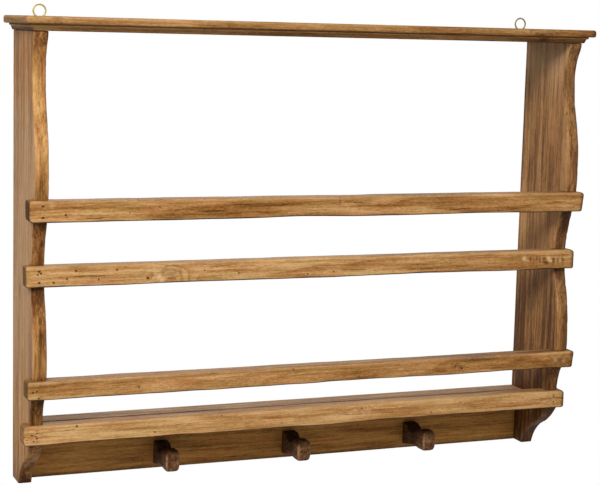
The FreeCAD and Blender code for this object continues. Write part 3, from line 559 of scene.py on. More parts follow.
# What each rail has of its own; places are in mm along the rack and heights above the feet.
#   shades: how much darker the rail is painted at the left end, in the middle and at the right
#       end
#   ends: how each end was cut, as the radii of its lower and upper corners and its slant
#   open_nails: the ends where the nail holes weren't filled
#   worn_under: where the lower edge has worn upwards, as (place, spread, depth)
#   knots: (place, height, radius)
#   holes: old flight holes in the front, as (place, height, radius)
#   cracks: splits along the grain, as (from, to, height, rise, width)
#   stains: darker and lighter bands, as (place, height, half length, half height, how dark)
#   dents: dents and torn places, as (place, height, size, depth, how bare)
RAILS = {
    "upper_guard_rail": dict(
        seed=11, end_grime=0.9, shades=(0.07, 0.16, 0.14), open_nails=(-1,),
        ends={-1: (11, 5, 0), 1: (4, 9, 5)}, worn_under=[(-60, 90, 2.6), (330, 120, 1.4)],
        knots=[],
        holes=[(-541.6, 571.1, 1.5), (-414.5, 573.0, 1.0), (284.2, 569.7, 1.1),
               (-353.7, 583.3, 0.9), (121.0, 577.0, 1.0), (402.0, 562.0, 0.9)],
        cracks=[(-276, -218, 573.5, -1.0, 1.7), (284, 336, 566.0, 2.6, 1.9),
                (-520, -470, 562.0, 1.2, 1.0), (60, 104, 584.0, -1.6, 1.2)],
        stains=[(-68, 586, 130, 6, 0.22), (250, 590, 90, 4, 0.2), (180, 562, 140, 5, -0.16),
                (-480, 572, 90, 7, -0.1), (28, 586, 16, 5, 0.3), (-150, 566, 80, 6, -0.2),
                (-60, 596, 120, 4, -0.15)],
        dents=[(12, 594, 7, 1.6, 0.1), (24, 590, 6, 1.3, 0.2), (37, 587, 5, 1.0, 0.2),
               (31, 577, 4, 0.9, 0.1), (-569, 590, 5, 0.9, 0.3), (566, 570, 8, 0.5, 0.2)]),
    "upper_plate_rail": dict(
        seed=23, end_grime=0.8, shades=(-0.12, -0.08, 0.08), open_nails=(-1,),
        ends={-1: (6, 5, 1), 1: (4, 8, 0)}, worn_under=[(-250, 110, 1.0), (260, 140, 1.4)],
        knots=[(-318, 449, 13)],
        holes=[(-582.7, 453.5, 1.5), (-588.6, 451.0, 1.2), (-557.0, 434.4, 1.6),
               (-513.5, 456.6, 1.7), (-467.1, 438.5, 1.3), (-367.1, 437.6, 1.7),
               (-430.8, 455.8, 1.3), (-531.0, 441.5, 1.3), (-174.9, 441.3, 1.2),
               (-23.1, 434.1, 1.2), (35.3, 437.0, 1.2), (-248.0, 449.0, 1.0),
               (228.0, 446.0, 1.0)],
        cracks=[(-236, -188, 455.0, 3.4, 1.6), (48, 108, 440.6, -1.6, 1.5),
                (-524, -436, 446.0, -2.0, 1.2)],
        stains=[(-120, 452, 60, 8, -0.12), (-20, 428, 70, 4, 0.26), (-420, 462, 110, 4, 0.18),
                (500, 430, 90, 5, 0.14), (503, 449, 2.5, 6, 0.45), (511, 449, 2.5, 7, 0.4),
                (519, 449, 2.5, 7, 0.45), (527, 448, 2.5, 7, 0.4), (537, 447, 3, 7, 0.6),
                (543, 441, 5, 4, 0.6), (561, 444, 3, 7, 0.55), (572, 446, 3, 7, 0.5),
                (584, 446, 3, 8, 0.4)],
        dents=[(-343, 439, 7, 1.5, 0.75), (-338, 434, 5, 1.0, 0.6), (-322, 462, 6, 0.8, 0.2),
               (488, 451, 5, 1.2, 1.0), (494, 447, 4, 0.9, 0.3), (531, 451, 5, 1.4, 0.25),
               (538, 445, 5, 1.5, 0.1), (549, 450, 5, 1.4, 1.0), (554, 444, 4, 1.1, 0.8),
               (569, 450, 5, 1.1, 0.4), (512, 450, 5, 0.7, 0.15), (521, 446, 4, 0.7, 0.15),
               (578, 445, 4, 0.8, 0.4)]),
    "lower_guard_rail": dict(
        seed=37, end_grime=0.7, shades=(0.05, 0.06, 0.3), open_nails=(),
        ends={-1: (7, 6, 0), 1: (4, 4, 4.5)}, worn_under=[(120, 160, 1.4), (470, 70, 1.2)],
        knots=[(326, 222, 5), (574, 222, 7)],
        holes=[(-602.2, 222.8, 1.4), (-594.3, 225.0, 1.1), (-590.5, 210.5, 1.3),
               (318.6, 225.2, 1.6), (333.4, 218.5, 1.5), (-57.3, 238.6, 1.0),
               (-388.0, 221.0, 1.0), (92.0, 214.0, 0.9)],
        cracks=[(-520, -470, 226.0, -1.2, 0.8), (140, 196, 232.0, 1.4, 0.8)],
        stains=[(-300, 238, 200, 3, 0.3), (60, 236, 120, 4, 0.2), (326, 222, 12, 5, 0.3)],
        dents=[(-607, 243, 6, 2.2, 0.3), (-598, 245, 5, 1.6, 0.3), (-590, 244, 7, 1.2, 0.3),
               (-575, 244, 8, 0.9, 0.2), (566, 225, 5, 1.3, 0.5), (572, 219, 4, 1.0, 0.2),
               (586, 222, 5, 0.9, 0.3), (322, 221, 5, 0.9, 0.25)]),
    "shelf_lip_rail": dict(
        seed=51, end_grime=0.5, shades=(-0.11, -0.08, -0.04), open_nails=(),
        ends={-1: (9, 6, 0), 1: (6, 9, 0)}, worn_under=[(-420, 120, 1.0), (300, 150, 1.6)],
        knots=[(115, 130, 5), (586, 127, 5)],
        holes=[(-596.3, 128.1, 1.2), (-586.4, 131.8, 1.0), (-588.9, 126.5, 1.1),
               (-586.4, 121.3, 1.2), (-592.3, 115.7, 1.2), (-606.8, 119.3, 0.9),
               (-505.9, 141.4, 1.5), (-344.1, 118.2, 1.4), (-200.9, 142.4, 1.0),
               (586.9, 133.0, 1.3), (586.0, 121.5, 1.2), (115.2, 137.0, 1.0),
               (281.0, 118.0, 1.1), (352.0, 135.0, 0.9)],
        cracks=[(-545, -506, 133.4, 1.4, 1.3), (60, 120, 126.0, -1.2, 0.8),
                (-300, -254, 130.0, 1.0, 0.7)],
        stains=[(380, 110, 110, 4, 0.3), (-200, 112, 120, 4, 0.16), (-560, 132, 40, 8, -0.1)],
        dents=[(-612, 139, 6, 1.6, 0.2), (-608, 121, 5, 1.0, 0.2), (586, 127, 7, 0.6, 0.25),
               (118, 128, 6, 0.5, 0.3)]),
}
INTO_WALL = (0.0, 1.0, 0.0)
RAIL_ROUNDS = (4.4, 3.0, 3.2, 6.2)
END_ZONE = 34.0
SIDE_MIDDLE = HALF_WIDTH - SIDE_THICKNESS / 2
NAIL_HEADS = (5.4, 2.6)
NAIL_SINK = 1.4
NAIL_APART = 22.0
HOLE_DEPTH = 5.0
CRACK_DEPTH = 3.0


def box_of(node):
    low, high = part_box(node)
    return np.array(low) / MM, np.array(high) / MM


def corner_inset(height, low, high, lower, upper):
    """How far a rounded end is set back at a height."""
    under = np.clip(lower - (height - low), 0, lower)
    over = np.clip(upper - (high - height), 0, upper)
    return lower - np.sqrt(lower ** 2 - under ** 2) + upper - np.sqrt(upper ** 2 - over ** 2)


def end_setback(levels, node, end, low, high):
    """How far an end of a rail is set back at each level, as it was cut and rounded."""
    lower, upper, slant = RAILS[node]["ends"][end]
    share = (high[2] - levels) / (high[2] - low[2])
    return corner_inset(levels, low[2], high[2], lower, upper) + slant * share


def trim_ends(points, node, low, high):
    """Rounds and slants the ends as seen from the front."""
    for end in (-1, 1):
        full = high[0] if end > 0 else -low[0]
        near = np.clip((points[:, 0] * end - (full - END_ZONE)) / END_ZONE, 0, 1)
        points[:, 0] -= end * near * end_setback(points[:, 2], node, end, low, high)
    return points


def nail_spots(low, high):
    """The end, the place and the level of each nail in a rail's front."""
    middle = (low[2] + high[2]) / 2
    return [(end, end * SIDE_MIDDLE, middle + way * NAIL_APART / 2)
            for end in (-1, 1) for way in (-1, 1)]


def knot_fields(points, knots, first, second):
    """Darkness of the knots, how they push the rings aside and where the rings show."""
    dark, swirl, curl = np.zeros((3, len(points)))
    for spot_first, spot_second, radius in knots:
        du = (points[:, first] - spot_first) / 1.5
        dv = points[:, second] - spot_second
        away = np.hypot(du, dv)
        dark += 0.3 * ramp_up(-away, -radius * 1.05, -radius * 0.4)
        dark += 0.35 * fall_off(away - radius, radius * 0.16)
        swirl -= 2.4 * (dv / radius) * np.exp(-0.5 * (away / (1.6 * radius)) ** 2)
        swirl += 1.4 * np.exp(-0.5 * (away / radius) ** 2)
        curl = np.maximum(curl, ramp_up(radius, 5, 12) * fall_off(away, radius * 2.2))
    return np.clip(dark, 0, 0.6), swirl, curl


def hole_grime(points, holes, face):
    """Painted shade: 1 down inside the holes that are cut in a front."""
    inside = np.zeros(len(points))
    for x, height, radius in holes:
        near = np.hypot(points[:, 0] - x, points[:, 2] - level_of(height)) < radius * 1.25
        inside = np.maximum(inside, near * ramp_up(points[:, 1] - face, 0.25, 0.9))
    return inside


def crack_grime(points, cracks, face):
    """Painted shade: where a point lies down inside one of the splits in a front."""
    x, y, z = points.T
    deep = (y > face + 1.2) & (y < face + 5)
    inside = np.zeros(len(points), dtype=bool)
    for start, end, height, rise, _ in cracks:
        inside |= deep & (x > start) & (x < end) & (np.abs(z - level_of(height) - rise / 2) < 4)
    return inside


def arris_distance(points, low, high):
    """Distance to the nearest long edge of a bar along X."""
    across = np.minimum(np.abs(points[:, 1] - low[1]), np.abs(points[:, 1] - high[1]))
    up = np.minimum(np.abs(points[:, 2] - low[2]), np.abs(points[:, 2] - high[2]))
    return np.maximum(across, up)


def rail_skin(node, low, high):
    """A rail's outline before it is cut: hand-planed, worn, its ends rounded."""
    seed = RAILS[node]["seed"]
    along, inset = stations(low[0], high[0], spacing=2.2, end_round=2.4)
    sway = drift(along, 420, seed) * 0.8
    under = sum(depth * fall_off(along - spot, spread)
                for spot, spread, depth in RAILS[node]["worn_under"])
    front = low[1] + 0.25 + 0.35 * (1 + drift(along, 160, seed + 1)) + inset
    back = high[1] - 0.2 * (1 + drift(along, 200, seed + 2)) - inset
    bottom = low[2] + 0.3 + 0.5 * (1 + drift(along, 130, seed + 3)) + under + inset
    top = high[2] - 0.5 * (1 + drift(along, 150, seed + 4)) - np.clip(sway, 0, 1) - inset
    radii = [radius * (1 + 0.35 * drift(along, 70, seed + number))
             for number, radius in enumerate(RAIL_ROUNDS, start=5)]
    rings = rounded_rings(front, back, bottom, top, radii, steps=(12, 14, 12, 16))
    points, faces = sweep(along, rings, "x")
    return trim_ends(points, node, low, high), faces


def rail_cutters(node, low, high):
    """The flight holes, splits and open nail holes of a rail's front."""
    marks, face = RAILS[node], low[1]
    cutters = [hole((x, face, level_of(height)), INTO_WALL, radius, HOLE_DEPTH,
                    marks["seed"] + number)
               for number, (x, height, radius) in enumerate(marks["holes"])]
    for number, (start, end, height, rise, width) in enumerate(marks["cracks"]):
        steps = np.linspace(0, 1, 11)
        waver = 0.7 * drift(steps * (end - start), 22, marks["seed"] + 90 + number)
        path = [(start + (end - start) * step, face, level_of(height) + rise * step + bend)
                for step, bend in zip(steps, waver)]
        cutters.append(crack(path, INTO_WALL, width, CRACK_DEPTH))
    wide, tall = NAIL_HEADS
    cutters += [block((x - wide / 2, face - ABOVE, z - tall / 2),
                      (x + wide / 2, face + NAIL_SINK + 0.5, z + tall / 2))
                for end, x, z in nail_spots(low, high) if end in marks["open_nails"]]
    return cutters


def make_rail(node):
    """One of the four rails across the front."""
    low, high = box_of(node)
    marks, face = RAILS[node], low[1]
    dents = [((x, face, level_of(height)), size, depth, bare)
             for x, height, size, depth, bare in marks["dents"]]
    piece = make_mesh("worn_" + node, *rail_skin(node, low, high))
    weather(piece, "x", marks["seed"], depth=0.4, dents=[dent[:3] for dent in dents])
    carve(piece, rail_cutters(node, low, high))

    points = places(piece.data)
    normals = directions(piece.data)
    x, y, z = points.T
    knots = [(spot, level_of(height), radius) for spot, height, radius in marks["knots"]]
    dark, swirl, curl = knot_fields(points, knots, 0, 2)
    for _, nail_x, nail_z in nail_spots(low, high):
        away = np.hypot(x - nail_x, z - nail_z)
        dark = np.maximum(dark, 0.5 * fall_off(away, NAIL_HEADS[0] * 0.45))
    raw = np.zeros(len(points))
    for spot, size, _, bare in dents:
        away = np.linalg.norm(points - np.array(spot), axis=1)
        raw = np.maximum(raw, bare * fall_off(away, size * 0.8))
    squared = np.abs(normals[:, 0])
    upward = ramp_up(normals[:, 2], 0.6, 0.95)
    ends = np.minimum(x - low[0], high[0] - x)
    tip = high[0] - end_setback(z, node, 1, low, high) - x
    # Darkened: the ends, as dirty end grain; with painted shade inside the holes and splits,
    # along the rounded right end and on the undersides; and along the back of the top face.
    grime = np.max([hole_grime(points, marks["holes"], face),
                    crack_grime(points, marks["cracks"], face),
                    marks["end_grime"] * squared * fall_off(ends, 16), fall_off(tip, 6),
                    0.95 * ramp_up(-normals[:, 2], 0.25, 0.65),
                    0.75 * upward * fall_off(high[1] - y, 6)], axis=0)
    shade = np.interp(x, (low[0], 0.0, high[0]), marks["shades"])
    for spot, height, length, tall, dark_by in marks["stains"]:
        away = np.hypot((x - spot) / length, (z - level_of(height)) / tall)
        shade += dark_by * fall_off(away, 1.0)
    wear = 0.8 * fall_off(arris_distance(points, low, high), 4.5)
    wear *= (1 - squared) * (1 - fall_off(tip, 5))
    # The top faces take the darker edge colours, as painted shade.
    paint(piece, wear=wear, grime=grime, raw=raw, knot=dark, swirl=swirl, curl=curl,
          tint=0.7 * upward, shade=shade)
    pith = (high[1] + 14, (low[2] + high[2]) / 2 + 6 * (-1) ** marks["seed"])
    material = pine(node + "_wood", "x", pith, RAIL_LOOK, marks["seed"], ring=4.2,
                    slope=(0.014, -0.02))
    return dress(piece, material, "rail_pine", node)


# ---------------------------------------------------------------- sides

# The front edge from the head down, as (reach, height, share): its swells and waists by turns,
# and how much of the half wave below each one belongs to the swell.
WAVE = ((194.0, 921.0, 0.2), (173.0, 842.0, 0.62), (203.0, 640.0, 0.55), (166.0, 455.0, 0.65),
        (193.5, 268.0, 0.6), (160.0, 152.0, None))
# The ogee foot, as (reach, height) of where its arcs start, meet and end, and their radii.
BROW = (160.0, 106.0)
OGEE_MIDDLE = (97.0, 54.0)
FOOT = (57.0, 0.0)
OGEE_RADII = (150.0, 115.0)


def arc_centre(start, end, radius):
    """Centre of the anticlockwise arc, under half a turn, from start to end."""
    start, end = complex(*start), complex(*end)
    chord = end - start
    rise = math.sqrt(radius ** 2 - abs(chord) ** 2 / 4)
    return (start + end) / 2 + chord / abs(chord) * 1j * rise


def front_reach(height):
    """How far the waved front edge stands out from the wall at a height."""
    for number, (upper, lower) in enumerate(zip(WAVE, WAVE[1:])):
        reach_a, height_a, share = upper
        reach_b, height_b, _ = lower
        if height >= height_b:
            if number % 2:
                share = 1 - share
            step = reach_b - reach_a
            spread = (step ** 2 + (height_a - height_b) ** 2) / (2 * abs(step))
            turning = height_a + share * (height_b - height_a)
            way = math.copysign(1, step)
            if height >= turning:
                radius = spread * share
                return reach_a + way * (radius - math.sqrt(radius ** 2
                                                           - (height_a - height) ** 2))
            radius = spread * (1 - share)
            return reach_b - way * (radius - math.sqrt(radius ** 2 - (height - height_b) ** 2))
    if height >= BROW[1]:
        return BROW[0]
    brow, middle, foot = ((-reach, level) for reach, level in (BROW, OGEE_MIDDLE, FOOT))
    if height >= OGEE_MIDDLE[1]:
        centre = arc_centre(brow, middle, OGEE_RADII[0])
        return -(centre.real - math.sqrt(OGEE_RADII[0] ** 2 - (height - centre.imag) ** 2))
    centre = arc_centre(foot, middle, OGEE_RADII[1])
    return -(centre.real + math.sqrt(OGEE_RADII[1] ** 2 - (height - centre.imag) ** 2))


# Knots on the broad faces of the left and the right side: level, place in depth, radius.
SIDE_KNOTS = {-1: [(-560, -60, 9)], 1: [(-742, -90, 7)]}
# Knots on the front edges: place up, how far from the middle, radius.
EDGE_KNOTS = {-1: [(-47, -9, 4), (-38, -12, 3), (-566, -8, 4), (-842, 8, 5)], 1: [(-640, 4, 4)]}

# How much darker each side is painted: (height, shade) pairs down its outer and inner faces and
# its front; partly the wood's own colour, partly painted light and shade.
OUTER_SHADES = ((921, 0.18), (830, 0.11), (780, 0.01), (640, -0.03), (350, 0.02), (310, 0.07),
                (125, 0.07), (43, 0.17), (18, 0.25), (0, 0.38))
INNER_SHADES = ((921, -0.06), (875, -0.14), (819, 0.15), (750, 0.2), (612, 0.25), (560, 0.14),
                (505, 0.06), (440, 0.19), (376, 0.34), (310, 0.36), (242, 0.39), (0, 0.44))
# On the front edges the darkest steps, under the cornice and just under each rail, are painted
# shadows.
EDGE_SHADES = {-1: ((921, 0.46), (900, 0.38), (870, 0.12), (825, -0.08), (784, -0.06),
                    (750, 0.08), (722, 0.0), (683, -0.08), (645, 0.17), (590, 0.2),
                    (552, 0.4), (512, 0.12), (486, 0.16), (452, 0.42), (410, 0.42),
                    (374, 0.24), (336, 0.38), (297, 0.27), (262, 0.22), (204, 0.45),
                    (133, 0.45), (106, 0.2), (70, 0.22), (40, 0.42), (0, 0.6)),
               1: ((921, 0.42), (860, 0.3), (602, 0.3), (553, 0.5), (470, 0.36), (424, 0.5),
                   (380, 0.3), (250, 0.24), (204, 0.5), (106, 0.5), (0, 0.7))}
# How orange the outer face, the inner face and the front edge of a side are.
OUTER_TINTS = ((921, 1.0), (840, 0.9), (780, 0.45), (740, 0.1), (640, 0.0), (350, 0.15),
               (250, 0.5), (125, 1.0), (0, 1.0))
INNER_TINTS = ((921, 0.0), (860, 0.15), (750, 0.5), (400, 0.5), (288, 0.8), (0, 0.9))
# Where the right side's inner arris is rubbed pale.
RUBBED_HEIGHTS = (326.0, 418.0)
SIDE_ROUNDS = (3.4, 3.4, 1.2, 1.2)
SIDE_DENTS = 26


def side_cutters(low, high, end):
    """The notches for the rails, and apart from them the recess behind the shelf's end."""
    notches = []
    for rail in RAILS:
        rail_low, rail_high = box_of(rail)
        notches.append(block((low[0] - 5, rail_low[1] - 30, rail_low[2]),
                             (high[0] + 5, rail_high[1], rail_high[2])))
    shelf_low, shelf_high = box_of("bottom_shelf")
    inner = (high[0] - 8, high[0] + 5) if end < 0 else (low[0] - 5, low[0] + 8)
    lip_back = box_of("shelf_lip_rail")[1][1]
    recess = block((inner[0], lip_back - 1, shelf_low[2] + 0.02),
                   (inner[1], WALL + 5, shelf_high[2] - 0.02))
    return notches, [recess]


def make_side(node, end):
    """The left (end -1) or right (end 1) side: its outline, its notches, then its marks."""
    low, high = box_of(node)
    seed = 71 + end * 7
    along, inset = stations(low[2], high[2], spacing=2.6, end_round=1.6)
    heights = np.clip(along - FEET, 0, SIDE_HEIGHT)
    reach = np.array([front_reach(height) for height in heights])
    front = WALL - reach + 0.3 + 0.3 * (1 + drift(along, 120, seed)) + inset
    back = np.full_like(front, WALL) - inset
    left = low[0] + 0.15 * (1 + drift(along, 260, seed + 1)) + inset
    right = high[0] - 0.15 * (1 + drift(along, 260, seed + 2)) - inset
    radii = [radius * (1 + 0.4 * drift(along, 60, seed + number))
             for number, radius in enumerate(SIDE_ROUNDS, start=3)]
    rings = rounded_rings(left, right, front, back, radii, steps=(11, 34, 6, 34))
    piece = make_mesh("worn_" + node, *sweep(along, rings, "z"))
    source = np.random.default_rng(seed)
    dents = []
    for _ in range(SIDE_DENTS):
        height = source.uniform(20, 900)
        face = low[0] if source.random() < 0.5 else high[0]
        spot = (face, WALL - front_reach(height), level_of(height))
        dents.append((spot, source.uniform(2.5, 6), source.uniform(0.4, 1.1)))
    weather(piece, "z", seed, depth=0.3, dents=dents)
    for cutters in side_cutters(low, high, end):
        carve(piece, cutters)

    points = places(piece.data)
    normals = directions(piece.data)
    x, y, z = points.T
    level = z - FEET
    forward = np.abs(y - np.interp(z, along, WALL - reach))
    sideways = np.minimum(np.abs(x - low[0]), np.abs(x - high[0]))
    inside = ramp_up(np.abs(x - (low[0] if end < 0 else high[0])), 1.5, 4)
    edge = ramp_up(np.hypot(np.minimum(normals[:, 1], 0), np.minimum(normals[:, 2], 0)),
                   0.35, 0.8)
    patches = 0.5 + 0.5 * ripples(points, 45, seed + 8, 2, 2.5)
    wear = (0.5 if end < 0 else 0.12) * patches * fall_off(np.maximum(forward, sideways), 3)
    dark, swirl, curl = knot_fields(points, SIDE_KNOTS[end], 2, 1)
    dark *= np.abs(normals[:, 0])
    middle = (low[0] + high[0]) / 2
    for knot_level, across, size in EDGE_KNOTS[end]:
        away = np.hypot((z - knot_level) / 1.4, x - middle - across)
        dark = np.maximum(dark, edge * 0.75 * ramp_up(-away, -size, -size * 0.5))
    # Painted shade: downward faces, the very foot of the front edge, the front edge under each
    # rail and, on the right side, its outer arris are darkened.
    grime = 0.75 * np.maximum(ramp_up(-normals[:, 2], 0.85, 0.97), edge * fall_off(level, 6))
    for rail in RAILS:
        under = box_of(rail)[0][2] - z
        shadow = np.exp(-np.clip(under, 0, 400) / 14) * (under > -1)
        grime = np.maximum(grime, edge * 0.4 * shadow)
    if end > 0:
        grime = np.maximum(grime, 0.85 * edge * fall_off(x - high[0], 4))
        lowest, highest = RUBBED_HEIGHTS
        within = ramp_up(level, lowest, lowest + 10) * ramp_up(-level, -highest, 10 - highest)
        arris = fall_off(np.maximum(forward, np.abs(x - low[0])), 2.4)
        wear = np.maximum(wear, within * arris)
    outer_shade, inner_shade, edge_shade, outer_tint, inner_tint = (
        np.interp(level, *zip(*reversed(pairs)))
        for pairs in (OUTER_SHADES, INNER_SHADES, EDGE_SHADES[end], OUTER_TINTS, INNER_TINTS))
    shade = outer_shade * (1 - inside) + inner_shade * inside
    shade = shade * (1 - edge) + edge_shade * edge
    tint = outer_tint * (1 - inside) + inner_tint * inside
    tint = np.maximum(tint, edge * (1.0 if end < 0 else 0.6))
    paint(piece, wear=wear * (1 - 0.5 * grime), grime=grime, knot=dark, swirl=swirl, curl=curl,
          tint=tint, shade=shade)
    material = pine(node + "_wood", "z", (middle + end * 46, -80.0), SIDE_LOOK, seed, ring=4.6,
                    slope=(0.02, 0.03))
    return dress(piece, material, "side_pine", node)


# ---------------------------------------------------------------- shelf, top, peg rail

BOARD_RADII = {"bottom_shelf": (0.6, 0.6, 0.8, 0.8), "top_board": (0.8, 0.8, 0.8, 0.8),
               "peg_rail": (1.6, 0.8, 0.8, 0.8)}


def make_board(node, slot, look, seed, pith=(60.0, 40.0), wear=0.4, cutters=()):
    """A flat board along X, its section from the CAD box."""
    low, high = box_of(node)
    along, inset = stations(low[0], high[0], spacing=5.0, end_round=0.8)
    uneven = 0.12 * (1 + drift(along, 300, seed))
    radii = [np.full_like(along, radius) for radius in BOARD_RADII[node]]
    rings = rounded_rings(low[1] + inset + uneven, high[1] - inset, low[2] + inset + uneven,
                          high[2] - inset, radii, steps=(24, 10, 24, 10))
    piece = make_mesh("worn_" + node, *sweep(along, rings, "x"))
    weather(piece, "x", seed, depth=0.25)
    if cutters:
        carve(piece, cutters)
    points = places(piece.data)
    normals = directions(piece.data)
    edges = wear * fall_off(arris_distance(points, low, high), 3)
    # The ends darken as dirty end grain and the lower arris with a painted shadow line; the top
    # faces take the edge colours as painted shade.
    grime = np.maximum(0.5 * np.abs(normals[:, 0]), fall_off(points[:, 2] - low[2], 2.6))
    paint(piece, wear=edges, grime=grime, tint=ramp_up(normals[:, 2], 0.6, 0.95))
    material = pine(node + "_wood", "x", ((low[1] + high[1]) / 2 + pith[0], low[2] - pith[1]),
                    look, seed, ring=4.4, slope=(0.02, 0.012))
    return dress(piece, material, slot, node)


def make_boards():
    shelf_top = box_of("bottom_shelf")[1][2]
    groove = block((-700, face_of(54), shelf_top - 3), (700, face_of(46), shelf_top + 5))
    make_board("bottom_shelf", "shelf_pine", TOP_LOOK, 131, cutters=[groove])
    make_board("top_board", "side_pine", TOP_LOOK, 147)
    make_board("peg_rail", "peg_rail_pine", PEG_RAIL_LOOK, 163, pith=(70.0, 20.0), wear=0.25)


# ---------------------------------------------------------------- cornice

# The moulding's section, in mm out of the top board and up from the moulding's foot.
CORNICE_PROJECTION = 20.5
CORNICE_HEIGHT = 28.4
CORNICE_BASE = (2.5, 2.5)
COVE_RADIUS = 7.0
BEAD_REACH, BEAD_FOOT, BEAD_TOP = 8.0, 8.9, 11.5
NOSE_FOOT = 12.9
NOSE_UNDER = 4.0
NOSE_OVER = 5.0
CORNICE_STEP = 0.9
HEAD_REACH = 194.0
# (place, level, radius) of the moulding's knots and of its one large stain.
CORNICE_KNOTS = [(-560, level_of(942), 6), (474, level_of(943), 9), (508, level_of(941), 8),
                 (-214, level_of(942), 5)]
CORNICE_STAIN = (500.0, level_of(926), 7.0)
# (height above the foot, spread, strength) of the painted shade in the hollows, of the painted
# highlights on the bead and the base, and of the nose's rubbed top.
SHADED_HOLLOWS = ((12.8, 1.3, 1.0), (5.8, 2.4, 0.9), (0.0, 1.4, 1.4))
HIGHLIGHT_LINES = ((10.2, 1.1, 0.9), (2.6, 0.8, 0.25))
RUBBED_NOSE = (25.0, 2.6, 0.8)


def arc_points(centre, radius, start, finish, steps=14):
    """Places along an arc between two angles in degrees."""
    turns = np.radians(np.linspace(start, finish, steps + 1))
    return [(centre[0] + radius * math.cos(turn), centre[1] + radius * math.sin(turn))
            for turn in turns]


def angle_from(centre, spot):
    return math.degrees(math.atan2(spot[1] - centre[1], spot[0] - centre[0]))


def cornice_profile():
    """The moulding's section as (how far out, how high above its foot), foot to head."""
    bead_foot = (BEAD_REACH, BEAD_FOOT)
    cove = arc_centre(bead_foot, CORNICE_BASE, COVE_RADIUS)
    cove = (cove.real, cove.imag)
    bead_half = (BEAD_TOP - BEAD_FOOT) / 2
    outline = [(0, 0), (CORNICE_BASE[0] - 0.6, 0), (CORNICE_BASE[0], 0.6)]
    outline += arc_points(cove, COVE_RADIUS, angle_from(cove, CORNICE_BASE),
                          angle_from(cove, bead_foot))
    outline += arc_points((BEAD_REACH, BEAD_FOOT + bead_half), bead_half, -90, 90, 8)
    outline.append((BEAD_REACH, NOSE_FOOT))
    for radius, level, start in ((NOSE_UNDER, NOSE_FOOT + NOSE_UNDER, -90),
                                 (NOSE_OVER, CORNICE_HEIGHT - NOSE_OVER, 0)):
        outline += arc_points((CORNICE_PROJECTION - radius, level), radius, start, start + 90)
    outline.append((0, CORNICE_HEIGHT))
    finer = []
    for (a, b), (c, d) in zip(outline, outline[1:] + outline[:1]):
        pieces = max(1, int(math.hypot(c - a, d - b) / CORNICE_STEP))
        finer += [(a + (c - a) * n / pieces, b + (d - b) * n / pieces) for n in range(pieces)]
    return np.array(finer)


def cornice_skin(axis, end, seed):
    """One length of the moulding, mitred where it meets its neighbour."""
    profile = cornice_profile()
    out, up = profile[:, 0], profile[:, 1]
    shares = np.linspace(0, 1, 420 if axis == "x" else 84)
    front = face_of(HEAD_REACH)
    if axis == "x":
        along = (2 * shares[:, None] - 1) * (HALF_WIDTH + out - 0.15)[None]
    else:
        along = WALL + ((front - out + 0.15)[None] - WALL) * shares[:, None]
    worn = 0.3 * (1 + drift(shares * 1200, 90, seed))[:, None]
    skin = np.stack([np.repeat(shares * 1200, len(profile)), np.tile(out, len(shares)),
                     np.tile(up, len(shares))], 1)
    knocked = 0.25 * (1 + ripples(skin, 14, seed + 1, 0, 3)).reshape(len(shares), len(profile))
    away = out[None] - (worn + knocked) * ramp_up(out, 2, 6)[None]
    level = level_of(SIDE_HEIGHT) + up[None] - 0.3 * worn * ramp_up(up, 20, 27)[None]
    across = front - away if axis == "x" else end * (HALF_WIDTH + away)
    return sweep(along, np.stack(np.broadcast_arrays(across, level), -1), axis)


def make_cornice(node, axis, end, seed):
    """The front of the cornice, along X, or its return at an end, along Y."""
    piece = make_mesh("worn_" + node, *cornice_skin(axis, end, seed))
    points = places(piece.data)
    x, _, z = points.T
    heights = z - level_of(SIDE_HEIGHT)
    recess, wear = (sum(strength * fall_off(heights - height, spread)
                        for height, spread, strength in lines)
                    for lines in (SHADED_HOLLOWS, HIGHLIGHT_LINES))
    height, spread, strength = RUBBED_NOSE
    worn_left = np.interp(x, (-HALF_WIDTH, -200, 200), (1.0, 0.7, 0.1))
    wear += strength * worn_left * fall_off(heights - height, spread)
    patches = 0.5 + 0.5 * ripples(points, 60, seed + 2, AXES[axis][0], 3)
    # Painted shade in the quirk, the cove and along the bottom.
    grime = np.clip(0.42 * recess, 0, 0.6)
    # The moulding below its nose is painted lighter and its base fillet darker, as painted light
    # and shade; it also darkens towards the right end.
    shade = 0.1 - 0.12 * (1 - ramp_up(heights, 11, 15)) + 0.00012 * x \
        + 0.12 * ramp_up(x, 430, 520) + 0.36 * (1 - ramp_up(heights, 2.5, 6))
    if axis == "x":
        stain_x, stain_z, size = CORNICE_STAIN
        stain = 0.8 * fall_off(np.hypot((x - stain_x) / 2, z - stain_z), size)
        # A large stain, and painted shade along the front's right tip.
        grime = np.max([grime, stain, fall_off(x - x.max(), 6)], axis=0)
    else:
        # The returns are darker all over, partly as dirt and partly as painted shade.
        grime = np.maximum(grime, 0.1 + 0.25 * patches)
        shade += 0.12
    dark, swirl, curl = knot_fields(points, CORNICE_KNOTS, 0, 2)
    paint(piece, wear=wear * (0.3 + 0.7 * patches), grime=grime, knot=dark, swirl=swirl,
          curl=curl, tint=np.full_like(shade, 0.35), shade=shade)
    pith = (-150.0 if axis == "x" else end * 560.0, -60.0)
    material = pine(node + "_wood", axis, pith, RAIL_LOOK, seed, ring=3.6, slope=(0.01, 0.02))
    return dress(piece, material, "moulding_pine", node)


# ---------------------------------------------------------------- pegs

# The peg's side as (how far out of the peg rail, how high), and how far each corner is rounded.
PEG_PROFILE = ((0, 0), (0, 50.5), (18, 50.5), (42, 37), (66, 50), (97, 50), (97, 4), (66, 4),
               (46, 8))
PEG_ROUNDS = (0, 0, 1.5, 6, 6, 13, 13, 6, 6)
PEG_ROOT = 21.0
PEG_BOTTOM = 10.0
PEG_HALF = 15.5
